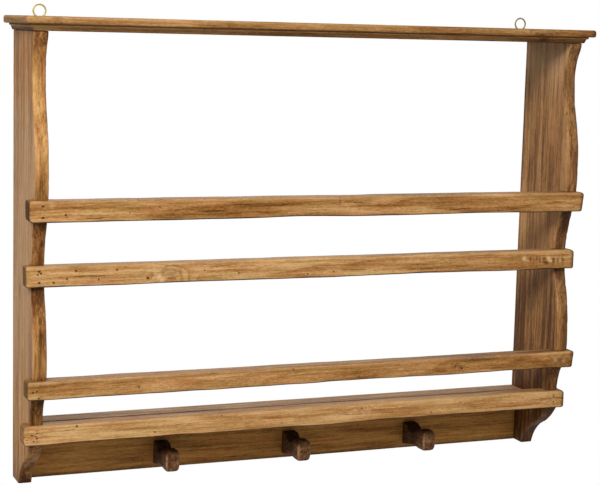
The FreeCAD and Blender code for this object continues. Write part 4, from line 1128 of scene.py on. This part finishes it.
# How the outline draws in towards the peg's two sides: (share of the half width, inset).
PEG_BEVEL = ((1.0, 5.2), (0.95, 3.8), (0.89, 2.3), (0.82, 1.1), (0.72, 0.3), (0.4, 0.0))
PEG_ROOT_BEVEL = 0.18
PEG_HEAD_MIDDLE = 27.0
PEG_HEAD_SHRINKS = 0.06
PEG_SPACING = 1.6
PEG_VOXEL = 1.1
# How far each peg leans to the right, and between which distances out it does so.
PEG_LEANS = {"left_peg": 0.0, "middle_peg": 1.0, "right_peg": 6.0}
PEG_LEAN_ZONE = (10, 80)


def rounded_outline(corners, rounds):
    """A closed outline with its corners turned into arcs, as evenly spaced points."""
    outline = []
    count = len(corners)
    for number, (corner, radius) in enumerate(zip(corners, rounds)):
        corner = complex(*corner)
        before = complex(*corners[number - 1]) - corner
        after = complex(*corners[(number + 1) % count]) - corner
        if not radius:
            outline.append(corner)
            continue
        before /= abs(before)
        after /= abs(after)
        half = math.acos(max(-1.0, min(1.0, (before * after.conjugate()).real))) / 2
        inward = (before + after) / abs(before + after)
        centre = corner + inward * radius / math.sin(half)
        start = corner + before * radius / math.tan(half) - centre
        finish = corner + after * radius / math.tan(half) - centre
        sweep_angle = math.atan2((finish / start).imag, (finish / start).real)
        steps = max(2, int(abs(sweep_angle) * radius / PEG_SPACING))
        outline += [centre + start * complex(math.cos(sweep_angle * n / steps),
                                             math.sin(sweep_angle * n / steps))
                    for n in range(steps + 1)]
    finer = []
    for here, there in zip(outline, outline[1:] + outline[:1]):
        pieces = max(1, int(abs(there - here) / PEG_SPACING))
        finer += [here + (there - here) * n / pieces for n in range(pieces)]
    return finer


def inset_outline(outline, distances):
    """The outline drawn in by a distance at each of its points."""
    drawn = []
    count = len(outline)
    for number, (here, distance) in enumerate(zip(outline, distances)):
        ahead = outline[(number + 1) % count] - outline[number - 1]
        drawn.append(here - 1j * ahead / abs(ahead) * distance)
    return drawn


def peg_skin(middle):
    """A peg sawn from board, its outline drawn in towards both of its sides."""
    outline = rounded_outline(PEG_PROFILE, PEG_ROUNDS)
    shares = PEG_ROOT_BEVEL + (1 - PEG_ROOT_BEVEL) * ramp_up(np.real(outline), 22, 55)
    rings, along = [], []
    levels = [(-share, inset) for share, inset in PEG_BEVEL] + [(0.0, 0.0)]
    for level, inset in levels + list(reversed(PEG_BEVEL)):
        drawn = np.array(inset_outline(outline, inset * shares))
        narrow = 1 - PEG_HEAD_SHRINKS * inset * ramp_up(drawn.real, 46, 68)
        heights = PEG_HEAD_MIDDLE + (drawn.imag - PEG_HEAD_MIDDLE) * narrow
        rings.append(np.stack([face_of(PEG_ROOT + drawn.real),
                               level_of(PEG_BOTTOM + heights)], 1))
        along.append(middle + level * PEG_HALF)
    return sweep(np.array(along), np.array(rings), "x")


def make_peg(node, seed):
    """A peg rounded by hand and worn smooth."""
    low, high = box_of(node)
    middle = (low[0] + high[0]) / 2
    piece = make_mesh("worn_" + node, *peg_skin(middle))
    remesh = piece.modifiers.new("even", "REMESH")
    remesh.mode = "VOXEL"
    remesh.voxel_size = PEG_VOXEL * MM
    smooth = piece.modifiers.new("soften", "SMOOTH")
    smooth.factor = 0.5
    smooth.iterations = 3
    settle(piece)
    points = places(piece.data)
    out = face_of(PEG_ROOT) - points[:, 1]
    points[:, 0] += PEG_LEANS[node] * ramp_up(out, *PEG_LEAN_ZONE)
    move_to(piece.data, points)
    source = np.random.default_rng(seed)
    dents = [((middle + source.uniform(-14, 14), face_of(PEG_ROOT + source.uniform(60, 97)),
               level_of(PEG_BOTTOM + source.uniform(4, 50))), source.uniform(2, 4.5),
              source.uniform(0.3, 0.8)) for _ in range(12)]
    weather(piece, "y", seed, depth=0.35, dents=dents)
    points = places(piece.data)
    points[:, 1] = np.minimum(points[:, 1], face_of(PEG_ROOT) - 0.05)
    move_to(piece.data, points)

    normals = directions(piece.data)
    out = face_of(PEG_ROOT) - points[:, 1]
    head = ramp_up(out, 50, 80)
    centre = middle + PEG_LEANS[node] * ramp_up(out, *PEG_LEAN_ZONE)
    # A painted highlight along the rim of the head's front, strongest where it faces left, on
    # top of its wear.
    rim = fall_off(PEG_HALF - np.abs(points[:, 0] - centre), 3.5)
    rim *= head * ramp_up(-normals[:, 1], 0.15, 0.6)
    left = ramp_up(-normals[:, 0], 0.1, 0.7)
    # The root, faces that look up and the head's upper part are darkened, as dirt and painted
    # shade.
    grime = 0.4 * (1 - head) + 0.12 * ramp_up(normals[:, 2], 0.3, 0.9)
    grime = np.maximum(grime, 0.5 * head * ramp_up(points[:, 2] - low[2], 34, 50))
    paint(piece, wear=rim * (0.3 + 0.7 * left), grime=grime,
          tint=0.7 * head * ramp_up(-normals[:, 1], 0.1, 0.8))
    material = pine(node + "_wood", "y", (middle - 24, level_of(-14)), PEG_LOOK, seed, ring=3.2,
                    slope=(0.05, 0.03))
    return dress(piece, material, "peg_pine", node)


# ---------------------------------------------------------------- screw eyes

# The ring of wire, how far round it goes, and the screw below it.
EYE_APART = 1098.0
EYE_MIDDLE = 12.6
WIRE_RADIUS = 1.75
WIRE_SIDES = 18
RING_TURN = 338.0
RING_STEPS = 72
BOARD_TOP = SIDE_HEIGHT + 20.0
SCREW_END = BOARD_TOP - 16.0
SCREW_STEPS = 60
SCREW_TURNS = 9
THREAD_DEPTH = 0.16


def tube(path, radii, sides):
    """A round tube along a path; gives its points and faces."""
    path = [Vector(spot) for spot in path]
    turns = [2 * math.pi * side / sides for side in range(sides)]
    points = []
    across = None
    for number, spot in enumerate(path):
        ahead = (path[min(number + 1, len(path) - 1)] - path[max(number - 1, 0)]).normalized()
        if across is None:
            across = ahead.orthogonal().normalized()
        across = (across - ahead * across.dot(ahead)).normalized()
        other = ahead.cross(across)
        points += [spot + (across * math.cos(turn) + other * math.sin(turn)) * radii[number]
                   for turn in turns]
    caps = [list(range(sides)), list(range(len(points) - sides, len(points)))]
    return points, caps + ring_faces(len(path), sides)


def make_eye(node, end, brass):
    """A brass screw eye: one wire bent round almost to its own shank, then the screw."""
    x = end * EYE_APART / 2
    path, radii = [], []
    for step in range(RING_STEPS + 1):
        turn = math.radians(-90 + RING_TURN * (1 - step / RING_STEPS))
        path.append((x, 0.0, 0.0) + EYE_MIDDLE * np.array((math.cos(turn), 0, math.sin(turn))))
        radii.append(WIRE_RADIUS * min(1.0, 0.55 + step * 0.15))
    neck = -EYE_MIDDLE - 3.2
    path += [(x, 0.0, neck + 2.0), (x, 0.0, neck)]
    radii += [WIRE_RADIUS * 1.02] * 2
    for step in range(1, SCREW_STEPS + 1):
        share = step / SCREW_STEPS
        path.append((x, 0.0, neck + (level_of(SCREW_END) - neck) * share))
        thread = THREAD_DEPTH * math.sin(share * 2 * math.pi * SCREW_TURNS) * (share > 0.2)
        taper = 1.0 if share < 0.8 else 1 - (share - 0.8) / 0.2 * 0.85
        radii.append((WIRE_RADIUS * 0.94 + thread) * taper)
    piece = make_mesh("brass_" + node, *tube(path, radii, WIRE_SIDES))
    return dress(piece, brass, "brass", node)


# ---------------------------------------------------------------- nails and pins

SHELF_NAIL_REACHES = (25.0, 57.0, 89.0)
SHELF_NAIL_HEIGHT = 115.5
PEG_RAIL_NAILS = ((10.5, 28.0), (10.5, 76.0))
TOP_NAIL_REACHES = (35.0, 100.0, 165.0)
PEG_NAIL_HEIGHTS = (23.0, 47.5)
PEG_PITCH = 293.5
PEGS_OFF_MIDDLE = 5.5
PIN_HEIGHT = SIDE_HEIGHT + 10.2
PIN_PITCH = 265.0
PIN_APART = 66.0


def cut_nail(spot, way, wide, length, seed, half=(2.6, 1.2)):
    """A cut nail: its head at spot, its point along way, its broad side along wide."""
    source = np.random.default_rng(seed)
    spot, way, wide = Vector(spot), Vector(way), Vector(wide)
    thick = way.cross(wide)
    levels = ((0.25, 0.8), (0, 1.0), (1.4, 1.0), (1.6, 0.6), (length * 0.6, 0.5),
              (length, 0.34))
    points = []
    for level, share in levels:
        for along_sign, thick_sign in ((-1, -1), (1, -1), (1, 1), (-1, 1)):
            jog = source.uniform(0.9, 1.0)
            points.append(spot + way * level + wide * along_sign * half[0] * share * jog
                          + thick * thick_sign * half[1] * (0.8 + 0.2 * share) * jog)
    caps = [[0, 1, 2, 3], list(range(len(points) - 4, len(points)))]
    return points, caps + ring_faces(len(levels), 4)


def make_nails(name, node, nails, wide, length, seed, alike=2, *half):
    """A group of nails from each one's (head, way); that many in a row are cut alike."""
    shapes = [cut_nail(spot, way, wide, length, seed + number // alike, *half)
              for number, (spot, way) in enumerate(nails)]
    return dress(make_mesh(name, *merged(shapes)), IRON, "iron", node)


def from_sides(spots):
    """Nails driven in through both sides at each (reach, height)."""
    return [((end * (HALF_WIDTH - NAIL_SINK), face_of(reach), level_of(height)), (-end, 0, 0))
            for reach, height in spots for end in (-1, 1)]


def make_all_nails():
    along, inwards, outwards, up, down = (1, 0, 0), (0, 1, 0), (0, -1, 0), (0, 0, 1), (0, 0, -1)
    rail_boxes = [box_of(rail) for rail in RAILS]
    in_rails = [((x, low[1] + NAIL_SINK, z), inwards) for low, high in rail_boxes
                for _, x, z in nail_spots(low, high)]
    in_shelf = from_sides([(reach, SHELF_NAIL_HEIGHT) for reach in SHELF_NAIL_REACHES])
    in_top = [((end * SIDE_MIDDLE, face_of(reach), level_of(BOARD_TOP - NAIL_SINK)), down)
              for reach in TOP_NAIL_REACHES for end in (-1, 1)]
    in_pegs = [((PEGS_OFF_MIDDLE + number * PEG_PITCH, WALL - 0.4, level_of(height)), outwards)
               for number in (-1, 0, 1) for height in PEG_NAIL_HEIGHTS]
    pins = [((n * PIN_PITCH, face_of(HEAD_REACH + 9), level_of(PIN_HEIGHT)), inwards)
            for n in range(-2, 3)]
    pins += [((end * (HALF_WIDTH + 9), face_of(67 + n * PIN_APART), level_of(PIN_HEIGHT)),
              (-end, 0, 0)) for end in (-1, 1) for n in range(2)]
    make_nails("rail_cut_nails", "rail_nails", in_rails, along, 60, 0, 1)
    make_nails("shelf_cut_nails", "shelf_nails", in_shelf, inwards, 48, 30)
    make_nails("peg_rail_cut_nails", "peg_rail_nails", from_sides(PEG_RAIL_NAILS), inwards, 48,
               40)
    make_nails("top_cut_nails", "top_board_nails", in_top, along, 48, 50)
    make_nails("peg_cut_nails", "peg_nails", in_pegs, along, 46, 59)
    make_nails("cornice_panel_pins", "cornice_pins", pins, up, 20, 80, 1, (0.8, 0.8))


# ---------------------------------------------------------------- the rack

for rail_node in RAILS:
    make_rail(rail_node)
make_side("left_side", -1)
make_side("right_side", 1)
make_boards()
make_cornice("cornice_front", "x", 0, 201)
make_cornice("cornice_left", "y", -1, 211)
make_cornice("cornice_right", "y", 1, 223)
for peg_seed, peg_node in zip((301, 313, 331), PEG_LEANS):
    make_peg(peg_node, peg_seed)
make_eye("left_screw_eye", -1, BRIGHT_BRASS)
make_eye("right_screw_eye", 1, DULL_BRASS)
make_all_nails()


# ---------------------------------------------------------------- studio

# In metres and radians: where the camera stands and how it is turned, and the room.
CAMERA_PLACE = (-1.2687, -3.2139, -0.0140)
CAMERA_TURN = 0.3832
CAMERA_DIP = -0.1349
CAMERA_ROLL = 0.0262
CAMERA_LENS = 96.336
FLOOR_LEVEL = -1.56
FLOOR_RADIUS = 14.0
FLOOR_BRIGHTENS = (1.1, 1.75)
FLOOR_GLOW_SHARE = 0.72
FLOOR_GREY = (0.55, 0.55, 0.55, 1.0)
WHITE = (1.0, 1.0, 1.0, 1.0)
SOFT_WHITE = (1.0, 0.985, 0.965, 1.0)
AMBIENT = 0.26
RACK_MIDDLE = (0.0, -0.1, -0.48)
# Each lamp's place, size, power and colour.
LAMPS = {"key": ((-2.5, -3.0, 2.1), (2.2, 1.8), 190, (1.0, 0.985, 0.96)),
         "fill": ((2.6, -2.6, 0.6), (2.0, 2.0), 20, (1.0, 0.99, 0.98)),
         "back": ((0.6, 2.8, 1.8), (2.2, 1.6), 60, (1.0, 1.0, 1.0))}


def plain_shader(graph, kind, tone, strength=None):
    node = graph.nodes.new(kind)
    node.inputs["Color"].default_value = tone
    if strength is not None:
        node.inputs["Strength"].default_value = strength
    return node.outputs[0]


def background_rays(graph):
    """1 for the rays that should find a plain background: seen, mirrored or through glass."""
    rays = graph.nodes.new("ShaderNodeLightPath").outputs
    direct = graph.calculate("MAXIMUM", rays["Is Camera Ray"], rays["Is Glossy Ray"])
    return graph.calculate("MAXIMUM", direct, rays["Is Transmission Ray"])


def show(graph, output, share, lit, glowing):
    """Ends a graph in a mix of what is lit and what glows."""
    seen = graph.nodes.new("ShaderNodeMixShader")
    for socket, source in zip(seen.inputs, (share, lit, glowing)):
        graph.links.new(source, socket)
    graph.links.new(seen.outputs[0], output.inputs["Surface"])


def make_floor():
    """A pale floor that shows a soft shadow below the rack and turns plain white further out."""
    mesh = bpy.data.meshes.new("floor")
    shell = bmesh.new()
    bmesh.ops.create_circle(shell, cap_ends=True, segments=96, radius=FLOOR_RADIUS)
    shell.to_mesh(mesh)
    shell.free()
    floor = bpy.data.objects.new("studio_floor", mesh)
    floor.location.z = FLOOR_LEVEL
    bpy.context.scene.collection.objects.link(floor)
    graph = Graph(bpy.data.materials.new("pale_floor"))
    graph.nodes.remove(graph.shader)
    spread = graph.nodes.new("ShaderNodeMapRange")
    spread.interpolation_type = "SMOOTHSTEP"
    graph.feed(spread.inputs["Value"], graph.vector("LENGTH", graph.object_place()))
    for name, level in zip(("From Min", "From Max", "To Min", "To Max"),
                           (*FLOOR_BRIGHTENS, FLOOR_GLOW_SHARE, 1.0)):
        spread.inputs[name].default_value = level
    share = graph.calculate("MULTIPLY", background_rays(graph), spread.outputs["Result"])
    show(graph, graph.nodes["Material Output"], share,
         plain_shader(graph, "ShaderNodeBsdfDiffuse", FLOOR_GREY),
         plain_shader(graph, "ShaderNodeEmission", WHITE, 1.0))
    mesh.materials.append(graph.owner)


def make_world():
    world = bpy.data.worlds.new("studio_world")
    bpy.context.scene.world = world
    graph = Graph(world)
    graph.nodes.clear()
    show(graph, graph.nodes.new("ShaderNodeOutputWorld"), background_rays(graph),
         plain_shader(graph, "ShaderNodeBackground", SOFT_WHITE, AMBIENT),
         plain_shader(graph, "ShaderNodeBackground", WHITE, 1.0))


def make_lamp(name, place, size, power, shade):
    light = bpy.data.lights.new(name, "AREA")
    light.shape = "RECTANGLE"
    light.size, light.size_y = size
    light.energy = power
    light.color = shade
    lamp = bpy.data.objects.new(name, light)
    lamp.location = place
    lamp.rotation_mode = "QUATERNION"
    lamp.rotation_quaternion = (Vector(RACK_MIDDLE) - Vector(place)).to_track_quat("-Z", "Y")
    bpy.context.scene.collection.objects.link(lamp)


def make_camera():
    camera_data = bpy.data.cameras.new("camera")
    camera_data.lens = CAMERA_LENS
    camera_data.sensor_width = 36.0
    camera = bpy.data.objects.new("camera", camera_data)
    ahead = Vector((math.sin(CAMERA_TURN) * math.cos(CAMERA_DIP),
                    math.cos(CAMERA_TURN) * math.cos(CAMERA_DIP), math.sin(CAMERA_DIP)))
    level = Vector((math.cos(CAMERA_TURN), -math.sin(CAMERA_TURN), 0))
    upright = level.cross(ahead)
    right = level * math.cos(CAMERA_ROLL) + upright * math.sin(CAMERA_ROLL)
    top = upright * math.cos(CAMERA_ROLL) - level * math.sin(CAMERA_ROLL)
    turn = Matrix((right, top, -ahead)).transposed().to_4x4()
    camera.matrix_world = Matrix.Translation(CAMERA_PLACE) @ turn
    bpy.context.scene.collection.objects.link(camera)
    bpy.context.scene.camera = camera


make_floor()
make_world()
for lamp_name, setting in LAMPS.items():
    make_lamp(lamp_name, *setting)
make_camera()
bpy.context.scene.view_settings.view_transform = "Standard"
